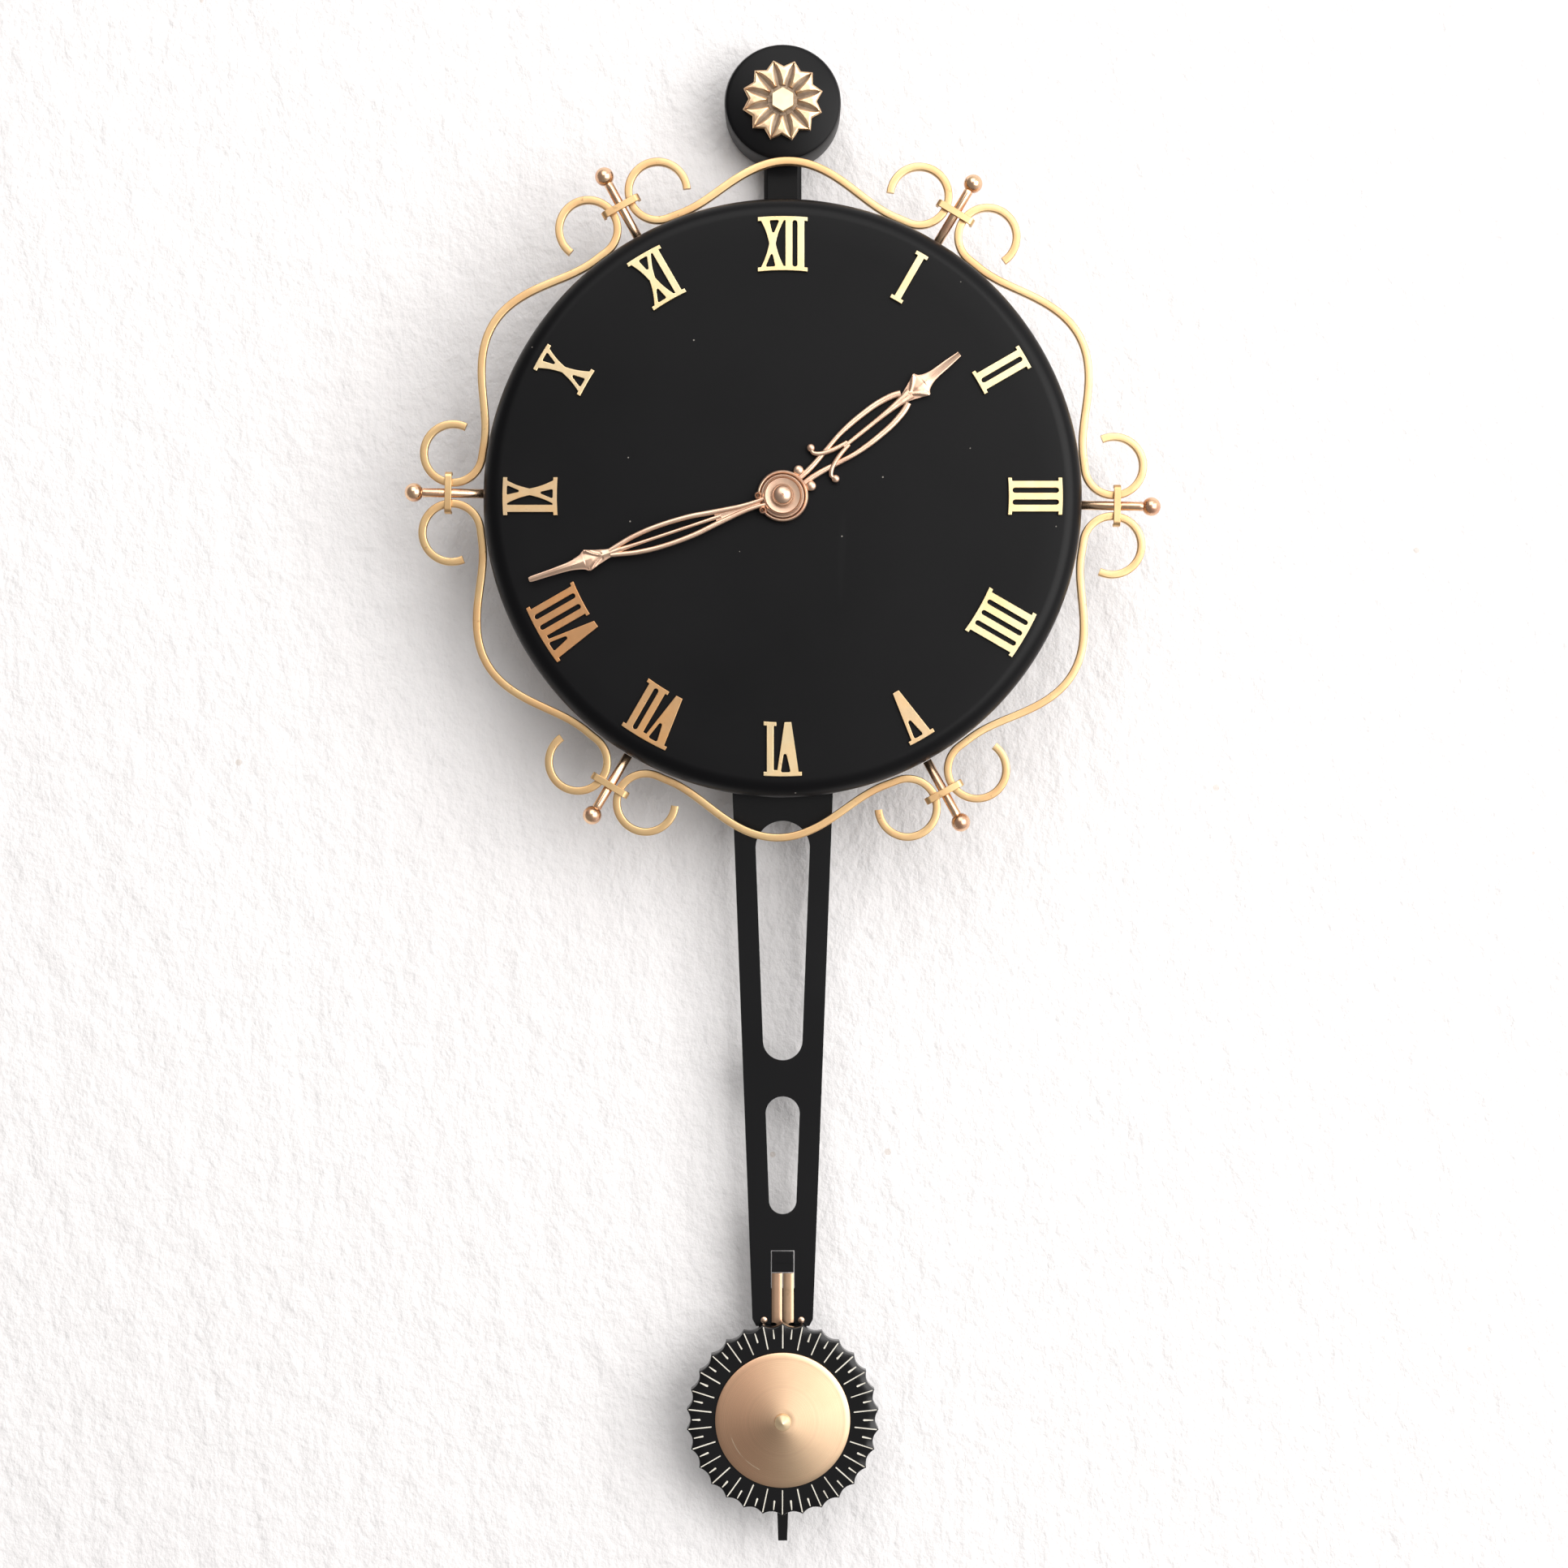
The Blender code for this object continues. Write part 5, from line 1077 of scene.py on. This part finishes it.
def make_hour_hand():
    """Two bowed sides and a middle rib, horns below, and an arrow head, on a dished hub."""
    back = back_of("hour_hand")
    edge = back + STRAND_EDGE
    proud = back + HAND_THICKNESS + 0.35 * MM
    side = [(1.3, 9.0, 2.1), (1.5, 13, 2.1), (2.2, 18, 2.0), (3.4, 24, 1.8), (4.55, 30, 1.8),
            (5.05, 36, 2.1), (5.1, 42, 2.2), (4.8, 48, 2.3), (3.7, 54, 2.4), (2.3, 57.6, 2.4)]
    horn = [(7.1, 19.3, 1.5), (6.3, 18.7, 1.5), (5.0, 18.9, 1.7), (3.4, 20.7, 1.8), (2.1, 23.6, 1.8),
            (1.2, 27, 1.7), (0.6, 31, 1.5)]
    middle = [(0, 29, 1.5), (0, 36, 1.7), (0, 44, 1.8), (0, 51, 2.3), (0, 56, 3.2), (0, 60.5, 4.6)]
    head = [(1.5, 56.5), (2.0, 58.5), (2.6, 60.2), (3.6, 62.6), (4.85, 65.6), (3.5, 66.8), (2.45, 68.8),
            (1.75, 71.8), (1.4, 77.8), (0.9, HOUR_LENGTH / MM)]
    tools = [
        strand(middle, back, edge, STRAND_CROWN * 0.9),
        blade(head, back, lambda z, share: arrow_height(z, share, 59.5, 65.6, back)),
    ]
    for flip in (list, mirrored):
        tools += [
            strand(flip(side), back, edge - 0.1 * MM, STRAND_CROWN * 0.7),
            strand(flip(horn), back + 0.05 * MM, edge + 0.1 * MM, STRAND_CROWN),
            dome(flip([(3.7, 10.5)])[0], 1.9 * MM, back + 0.1 * MM, proud + 0.1 * MM),
            dome(flip([(7.3, 19.2)])[0], 1.5 * MM, back + 0.1 * MM, proud),
        ]
    hub = 9.6 * MM
    bore = 3.5 * MM
    dish = back + 0.9 * MM
    rim = back + HAND_THICKNESS
    profile = [(bore, dish), (7.9 * MM, dish), (8.15 * MM, rim - 0.25 * MM),
               (8.5 * MM, rim + 0.2 * MM), (8.9 * MM, rim + 0.3 * MM), (9.3 * MM, rim + 0.1 * MM),
               (hub, rim - 0.5 * MM), (hub, back), (bore, back)]
    shape = combined(turned(profile, 96, hollow=True), "UNION", *tools)
    shape = placed(shape, HOUR_ANGLE, DIAL)
    add("pressed_hour_hand", shape, ROSE, "hour_hand", "rose_brass", "hour_hand", angle=40)


def minute_height(z, share, back):
    """A low ridge up to the foot of the arrow head, then the head's own relief."""
    foot, barb = 70.0, 75.8
    if z < foot:
        rise = max(0.0, 1 - abs(share) / 0.75)
        return back + HAND_THICKNESS * (0.55 + 0.4 * rise)
    return arrow_height(z, share, foot, barb, back)


def make_minute_hand():
    """Two bowed sides, a middle rib and a web between them, on a hub with two curls."""
    back = back_of("minute_hand") + 0.1 * MM
    edge = back + STRAND_EDGE
    side = [(1.2, 7.0, 1.4), (0.95, 10.5, 1.5), (1.1, 16, 1.7), (1.75, 22, 1.9), (2.5, 28, 2.0),
            (3.35, 34, 2.0), (3.75, 40, 1.95), (3.85, 46, 1.9), (3.6, 52, 1.9), (2.85, 58, 1.9),
            (1.8, 63, 1.8), (0.9, 67, 1.6)]
    middle = [(0, 24, 1.5), (0, 34, 1.3), (0, 46, 1.3), (0, 56, 1.35), (0, 62, 1.7), (0, 66, 2.2)]
    web = [(0.7, 9.0), (1.3, 14.0), (1.9, 20.0), (2.5, 26.1)]
    head = [(1.2, 62.6), (1.6, 65.0), (1.65, 67.6), (2.3, 70.2), (3.1, 73.2), (3.95, 75.8), (2.9, 77.6),
            (2.3, 79.4), (1.7, 82), (1.4, 85), (1.14, 91), (1.0, 97.2), (0.7, MINUTE_LENGTH / MM)]
    tools = [
        strand(middle, back, edge, STRAND_CROWN * 0.7),
        blade(head, back, lambda z, share: minute_height(z, share, back)),
        blade(web, back, lambda z, share: back + HAND_THICKNESS * (0.35 + 0.2 * abs(share)), 4, 8),
    ]
    for flip in (list, mirrored):
        curl_x, curl_z = flip([(2.85, 8.6)])[0]
        curl = [(0.55, 0.5), (0.6, 1.25), (0.95, 1.7), (1.3, 1.4), (1.45, 0.9), (1.45, 0.15),
                (0.55, 0.15)]
        curl = [(radius * MM, back + depth * MM) for radius, depth in curl]
        ring = turned(curl, 28, hollow=True, centre=(curl_x * MM, curl_z * MM))
        tools += [strand(flip(side), back, edge, STRAND_CROWN * 0.9), ring]
    hub = 7.3 * MM
    bore = 2.3 * MM
    rim = back + HAND_THICKNESS
    profile = [(bore, back + 0.75 * MM), (4.4 * MM, back + 0.75 * MM), (6.4 * MM, back + 0.95 * MM),
               (6.7 * MM, rim - 0.1 * MM), (7.0 * MM, rim + 0.1 * MM), (hub, rim - 0.25 * MM),
               (hub, back - 0.1 * MM), (bore, back - 0.1 * MM)]
    shape = combined(turned(profile, 96, hollow=True), "UNION", *tools)
    shape = placed(shape, MINUTE_ANGLE, DIAL)
    add("pressed_minute_hand", shape, ROSE, "minute_hand", "rose_brass", "minute_hand", angle=40)


def make_hand_nut():
    """A domed nut with a rounded flange and a turning centre in its top."""
    back = back_of("hand_nut")
    top = front_of("hand_nut")
    radius = half_width("hand_nut")
    bore = 2.3 * MM
    socket = back + 1.8 * MM
    drop = 1.7 * MM
    flange = top - drop
    profile = [(0, top - 0.35 * MM), (0.18 * MM, top - 0.25 * MM), (0.4 * MM, top)]
    profile += crowned(radius - 0.65 * MM, top, drop, range(15, 91, 15))
    profile += [(radius - 0.4 * MM, flange + 0.1 * MM), (radius - 0.1 * MM, flange - 0.15 * MM)]
    profile += [(radius, flange - 0.5 * MM), (radius, back), (bore, back), (bore, socket), (0, socket)]
    add("domed_nut", turned(profile, 64, centre=DIAL), ROSE, "minute_hand", "rose_brass", "hand_nut")


# Pendulum arm
ARM_TOP_HALF = 19.0 * MM
ARM_END_HALF = 11.4 * MM
ARM_RAIL = 8.0 * MM
ARM_BRIDGE = 13.75 * MM
ARM_FLANGE = 1.4 * MM
ARM_SHEET = 1.2 * MM
ARM_CORNER = 2.6 * MM
WINDOW_LENGTH = 28.7 * MM
WINDOW_WIDTH = 8.9 * MM
SHORT_SLOT_LENGTH = 44.7 * MM
LONG_SLOT_DROP = 9 * MM
TAPER_RISE = 5 * MM
SHOULDER_LENGTH = 24 * MM
ROD_HALF = 4.5 * MM
EYE_RADIUS = 6.5 * MM
PIN_BORE = 2.3 * MM
RIVET_BORE = 1.15 * MM
PAST = 1 * MM  # how far a cutter runs past what it cuts


def arm_half(height):
    """Half the arm's width at a height."""
    share = (RIM_Z - height) / (RIM_Z - ARM_END_Z)
    return ARM_TOP_HALF + (ARM_END_HALF - ARM_TOP_HALF) * share


def arm_slot(top, bottom):
    """A tapering slot with round ends, a rail's width inside the arm's edges."""
    slope = (ARM_TOP_HALF - ARM_END_HALF) / (RIM_Z - ARM_END_Z)
    top_radius = (arm_half(top) - ARM_RAIL) / (1 + slope)
    bottom_radius = (arm_half(bottom) - ARM_RAIL) / (1 - slope)
    upper = arc((0, top - top_radius), top_radius, 0, 90, 20)
    lower = arc((0, bottom + bottom_radius), bottom_radius, 90, 180, 20)
    return both_sides(upper + lower)


def make_arm():
    """Flanged sheet with two slots and a window at its lower end."""
    taper_top = RIM_Z + TAPER_RISE
    window_half = WINDOW_WIDTH / 2
    window_top = ARM_END_Z + WINDOW_LENGTH
    meet = math.degrees(math.asin(ROD_HALF / EYE_RADIUS))
    half = arc((0, PIN[1]), EYE_RADIUS, 0, 180 - meet, 20)
    half += [
        (ROD_HALF, taper_top + SHOULDER_LENGTH),
        (arm_half(taper_top), taper_top),
        (arm_half(ARM_END_Z + ARM_CORNER), ARM_END_Z + ARM_CORNER),
        (ARM_END_HALF - ARM_CORNER / 2, ARM_END_Z),
        (window_half, ARM_END_Z),
        (window_half, window_top),
    ]
    short_bottom = window_top + ARM_BRIDGE
    short_top = short_bottom + SHORT_SLOT_LENGTH
    holes = [
        circle((0, PIN[1]), PIN_BORE, 48),
        arm_slot(RIM_Z - LONG_SLOT_DROP, short_top + ARM_BRIDGE),
        arm_slot(short_top, short_bottom),
    ]
    holes += [circle(middle_of(node), RIVET_BORE, 24) for node in ("rivet_left", "rivet_right")]
    body = plate(both_sides(half), ARM_BACK, ARM_FRONT, holes)
    below = ARM_END_Z - PAST
    hollow = both_sides([(arm_half(taper_top) - ARM_FLANGE, taper_top - ARM_FLANGE),
                         (arm_half(below) - ARM_FLANGE, below)])
    body = combined(body, "DIFFERENCE", plate(hollow, ARM_BACK - PAST, ARM_FRONT - ARM_SHEET))
    arm = add("flanged_arm", body, GLOSS, "pendulum", "black_lacquer", "pendulum_arm")
    soften(arm, 0.45 * MM, 3, 40)


def make_arm_fittings():
    """Two round-headed rivets, and the fittings that keep their CAD shape."""
    for side in ("left", "right"):
        node = f"rivet_{side}"
        radius = half_width(node)
        shank = radius - 0.45 * MM
        under = front_of(node) - 0.7 * MM
        profile = crowned(radius, front_of(node), 0.5 * MM, (0, 25, 50, 70, 90))
        profile += [(radius, under), (shank, under), (shank, back_of(node)), (0, back_of(node))]
        shape = turned(profile, 32, centre=middle_of(node))
        add(f"domed_{node}", shape, ROSE, "pendulum", "rosette_brass", node)
    finish_node("spring_clamp", GLOSS, 0.2 * MM)
    finish_node("drive_magnet", STEEL, 0.15 * MM)
    finish_node("bob_carrier", GLOSS, 0.25 * MM)


def make_click_leaves():
    """Two sprung leaves side by side, each a little crowned, with a notched lower end."""
    low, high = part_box("click_spring")
    crest = 0.3 * MM
    slit = 0.22 * MM
    across = 8
    rings = 16
    shape = bmesh.new()
    for side in (-1, 1):
        rows = []
        for r in range(rings + 1):
            share = r / rings
            row = []
            for k in range(across + 1):
                lateral = k / across
                x = slit + (high.x - slit) * lateral
                foot = low.z + (1.1 - 1.0 * math.sin(math.pi * min(1.0, lateral * 1.35 + 0.12))) * MM
                z = foot + (high.z - foot) * share
                crown = 0.28 * MM * (1 - (2 * lateral - 1) ** 4)
                row.append((side * x, low.y + crest - crown, z))
            under = [(side * high.x, high.y, row[-1][2]), (side * slit, high.y, row[0][2])]
            rows.append(row + under)
        gather(shape, ringed(rows, closed=False))
    add("click_leaves", shape, LEAF, "pendulum", "numeral_brass", "click_spring", angle=40)


# Bob
SCALLOPS = 30
SCALLOP_DEPTH = 1.5 * MM
STUD_BORE = 2.3 * MM
POCKET_OFFSET = 3.5 * MM
POCKET_RIM = 6.5 * MM
POCKET_FLOOR = 2.5 * MM
HUB_RADIUS = 6.0 * MM
LONG_LINE_START = 26.9 * MM
SHORT_LINE_START = 30.7 * MM
LINE_INSET = 0.62 * MM


def scallop_ring(radius, depth, at):
    """A ring of concave arcs that meet in points."""
    steps = 10
    points = []
    for i in range(SCALLOPS * steps):
        across = 2 * (i % steps) / steps - 1
        dip = depth * (1 - across ** 2)
        x, z = polar(360 * i / (SCALLOPS * steps), radius - dip, BOB)
        points.append((x, -at, z))
    return points


def make_disc():
    """The scalloped disc, with an off-centre pocket in its back that leaves it heavier at one side."""
    back, front = back_of("rating_disc"), front_of("rating_disc")
    edge = 0.6 * MM
    rings = [scallop_ring(STUD_BORE, 0, back)]
    for inset, depth in ((edge, back), (0.15 * MM, back + 0.2 * MM), (0, back + edge), (0, front - edge),
                         (0.18 * MM, front - 0.18 * MM), (edge, front)):
        rings.append(scallop_ring(DISC_RADIUS - inset, SCALLOP_DEPTH, depth))
    rings += [scallop_ring(DISC_RADIUS - 5 * MM, 0, front), scallop_ring(STUD_BORE, 0, front)]
    pocket_centre = (BOB[0], BOB[1] + POCKET_OFFSET)
    pocket = circle(pocket_centre, DISC_RADIUS - POCKET_RIM - POCKET_OFFSET, 96)
    cutter = plate(pocket, back - PAST, front - POCKET_FLOOR, [circle(BOB, HUB_RADIUS, 48)])
    shape = combined(ringed(rings), "DIFFERENCE", cutter)
    add("scalloped_disc", shape, GLOSS, "rating_disc", "black_lacquer", "rating_disc")
    make_divisions(front)


def make_divisions(front):
    """Paint in the engraved lines: a long one to each point and a short one to each hollow."""
    shape = bmesh.new()
    for i in range(2 * SCALLOPS):
        long_line = i % 2 == 0
        start = (LONG_LINE_START if long_line else SHORT_LINE_START) + CHANCE.uniform(-0.35, 0.35) * MM
        end = DISC_RADIUS - LINE_INSET - (0 if long_line else SCALLOP_DEPTH)
        width = (0.22 if long_line else 0.34) * MM * CHANCE.uniform(0.85, 1.15)
        outer = width * (0.9 if long_line else 0.5)
        lean = CHANCE.uniform(-0.25, 0.25)
        outline = [(width, start + width), (outer, end - outer)]
        outline += [(0, end), (-outer, end - outer), (-width, start + width)]
        outline += arc((0, start + width), width, 270, 90, 6)[1:-1]
        outline = turned_to(outline, 180 * i / SCALLOPS + lean, BOB)
        gather(shape, plate(outline, front - 0.1 * MM, front + 0.05 * MM))
    add("disc_divisions", shape, CREAM, "rating_disc", "black_lacquer")


def make_cone():
    """The cone is drawn upright and laid over, so that its brushing runs round its own axis."""
    back, front = back_of("bob_cone"), front_of("bob_cone")
    edge = back + 0.8 * MM
    seat = 3.5 * MM
    slope_end = CONE_RADIUS - 0.3 * MM
    profile = [(STUD_BORE, front), (seat, front)]
    for k in range(1, 12):
        share = k / 12
        swell = 0.05 * MM * math.sin(math.pi * share)
        depth = front + (edge + 0.1 * MM - front) * share + swell
        profile.append((seat + (slope_end - seat) * share, depth))
    profile += [(slope_end, edge + 0.12 * MM), (CONE_RADIUS - 0.08 * MM, edge),
                (CONE_RADIUS, edge - 0.2 * MM), (CONE_RADIUS, back), (STUD_BORE, back)]
    shape = turned(profile, 192, hollow=True)
    quarter = Matrix.Rotation(math.radians(90), 4, "X")
    bmesh.ops.transform(shape, matrix=quarter.inverted(), verts=shape.verts)
    lay = Matrix.Translation((BOB[0], 0, BOB[1])) @ quarter
    add("brushed_cone", shape, SPUN, "rating_disc", "cone_brass", "bob_cone", angle=30, lay=lay)


def make_bob_nut():
    """A turned nut that ends in a blunt point."""
    back, front = back_of("bob_nut"), front_of("bob_nut")
    radius = half_width("bob_nut")
    socket = back + 1.5 * MM
    profile = [(0, front), (0.25 * MM, front - 0.03 * MM), (0.5 * MM, front - 0.2 * MM),
               (radius - 0.25 * MM, back + 1.75 * MM), (radius - 0.05 * MM, back + 1.55 * MM),
               (radius, back + 1.3 * MM), (radius, back), (STUD_BORE, back), (STUD_BORE, socket),
               (0, socket)]
    add("pointed_nut", turned(profile, 64, centre=BOB), PALE, "pendulum", "cone_brass", "bob_nut")


# The movement and other hidden pieces keep their CAD shape, with real finishes
def finish_hidden_pieces():
    finish_node("frame_strap", SATIN, 0.3 * MM)
    finish_node("hanger_plate", STEEL, 0.2 * MM)
    finish_node("movement_housing", PLASTIC, 0.5 * MM)
    finish_node("movement_front_plate", PLASTIC, 0.25 * MM)
    finish_node("step_motor", PLASTIC, 0.4 * MM)
    finish_node("battery_contact_minus", STEEL)
    finish_node("drive_coil", WINDING, 0.2 * MM)
    finish_node("suspension_pin", STEEL, 0.2 * MM)
    finish_node("centre_arbor", STEEL)
    finish_node("hour_wheel", WIRE)
    finish_node("minute_wheel", WIRE)
    finish_node("setting_knob", STEEL, 0.15 * MM)


def make_cell():
    """A round cell with a rolled seam at each end and a contact cap."""
    low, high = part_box("battery")
    radius = (high.x - low.x) / 2
    length = high.z - low.z
    half = length / 2
    nub = 2.7 * MM
    shoulder = half - 1.2 * MM
    profile = [(0, half), (nub - 0.3 * MM, half), (nub, half - 0.3 * MM), (nub, shoulder),
               (radius - 1.4 * MM, shoulder), (radius - 1.1 * MM, shoulder - 0.05 * MM),
               (radius - 0.5 * MM, shoulder), (radius - 0.1 * MM, shoulder - 0.3 * MM),
               (radius, shoulder - 0.8 * MM), (radius, -half + 0.8 * MM),
               (radius - 0.1 * MM, -half + 0.3 * MM), (radius - 0.6 * MM, -half), (0, -half)]
    shape = turned(profile, 64)
    centre = (low + high) / 2
    upright = Matrix.Translation(centre) @ Matrix.Rotation(math.radians(-90), 4, "X")
    bmesh.ops.transform(shape, matrix=upright, verts=shape.verts)
    paint = cell_sleeve(centre.z + length * 0.24)
    add("round_cell", shape, paint, "case", "battery_sleeve", "battery")


# Stage
WALL_REACH = 1.6
WALL_SET_BACK = 0.4 * MM
CLOCK_MIDDLE_Z = -0.3


def make_stage():
    """A square of wall that faces the room."""
    low = CLOCK_MIDDLE_Z - WALL_REACH
    high = CLOCK_MIDDLE_Z + WALL_REACH
    corners = [(-WALL_REACH, low), (WALL_REACH, low), (WALL_REACH, high), (-WALL_REACH, high)]
    mesh = bpy.data.meshes.new("plaster_wall")
    mesh.from_pydata([(x, WALL_SET_BACK, z) for x, z in corners], [], [(0, 1, 2, 3)])
    mesh.materials.append(plaster())
    backdrop = bpy.data.objects.new("plaster_wall", mesh)
    bpy.context.scene.collection.objects.link(backdrop)


SOFTBOXES = (  # azimuth from twelve, angle off the dial's axis, distance, size, radiance
    (80, 36, 2.4, 2.0, 3.7),
    (-5, 39, 2.4, 1.7, 2.3),
)
SIDE_LIT = Vector((0.80, 0.10, 0.45)).normalized()
BEHIND = Vector((0, 1, 0))
ROOM_GLOWS = (  # the way it is centred on, then from and to along it, and the strength at each
    (SIDE_LIT, (-0.6, 0.9, 0.26, 1.0)),
    (BEHIND, (-0.1, 0.3, 0.0, 0.9)),
)


def make_softboxes():
    """A broad soft light at the right and a weaker one above."""
    middle = Vector((DIAL[0], 0, DIAL[1] - DIAL_RADIUS))
    for i, (azimuth, off_axis, distance, size, radiance) in enumerate(SOFTBOXES):
        lean = math.radians(off_axis)
        x, z = polar(azimuth, math.sin(lean))
        lamp = bpy.data.lights.new(f"softbox_{i + 1}", "AREA")
        lamp.size = size
        lamp.energy = radiance * math.pi * size ** 2
        lamp.color = (1.0, 0.985, 0.97)
        softbox = bpy.data.objects.new(lamp.name, lamp)
        bpy.context.scene.collection.objects.link(softbox)
        softbox.location = middle + distance * Vector((x, -math.cos(lean), z))
        softbox.rotation_euler = (middle - softbox.location).to_track_quat("-Z", "Y").to_euler()


def make_room():
    """A pale room, dimmer on the left, that also lights the clock's back through the wall."""
    world = bpy.data.worlds.new("studio")
    bpy.context.scene.world = world
    world.use_nodes = True
    tree = world.node_tree
    sky = tree.nodes["Background"]
    sky.inputs["Color"].default_value = (1.0, 0.99, 0.985, 1)
    way = tree.nodes.new("ShaderNodeTexCoord").outputs["Generated"]
    levels = []
    for direction, span in ROOM_GLOWS:
        toward = tree.nodes.new("ShaderNodeVectorMath")
        toward.operation = "DOT_PRODUCT"
        toward.inputs[1].default_value = direction
        tree.links.new(way, toward.inputs[0])
        rise = tree.nodes.new("ShaderNodeMapRange")
        rise.interpolation_type = "SMOOTHSTEP"
        for socket, value in zip(rise.inputs[1:5], span):
            socket.default_value = value
        tree.links.new(toward.outputs["Value"], rise.inputs[0])
        levels.append(rise.outputs[0])
    seen = tree.nodes.new("ShaderNodeLightPath").outputs["Is Camera Ray"]
    brightest = levels[0]
    for level in (levels[1], seen):
        most = tree.nodes.new("ShaderNodeMath")
        most.operation = "MAXIMUM"
        tree.links.new(brightest, most.inputs[0])
        tree.links.new(level, most.inputs[1])
        brightest = most.outputs[0]
    tree.links.new(brightest, sky.inputs["Strength"])


def make_camera():
    """Straight in front of the clock, level, at a little under its middle."""
    lens = bpy.data.cameras.new("camera")
    lens.lens = 73.2
    lens.sensor_width = 36
    camera = bpy.data.objects.new("camera", lens)
    bpy.context.scene.collection.objects.link(camera)
    camera.location = (0.0005, -1.23, -0.2585)
    camera.rotation_euler = (math.radians(90), 0, 0)
    bpy.context.scene.camera = camera
    bpy.context.scene.view_settings.view_transform = "Standard"


make_camera()
make_softboxes()
make_room()
make_stage()
make_cap()
make_rosette()
make_bolt()
make_dial()
make_numerals()
make_scroll_ring()
make_hour_hand()
make_minute_hand()
make_hand_nut()
make_arm()
make_arm_fittings()
make_click_leaves()
make_disc()
make_cone()
make_bob_nut()
make_cell()
finish_hidden_pieces()
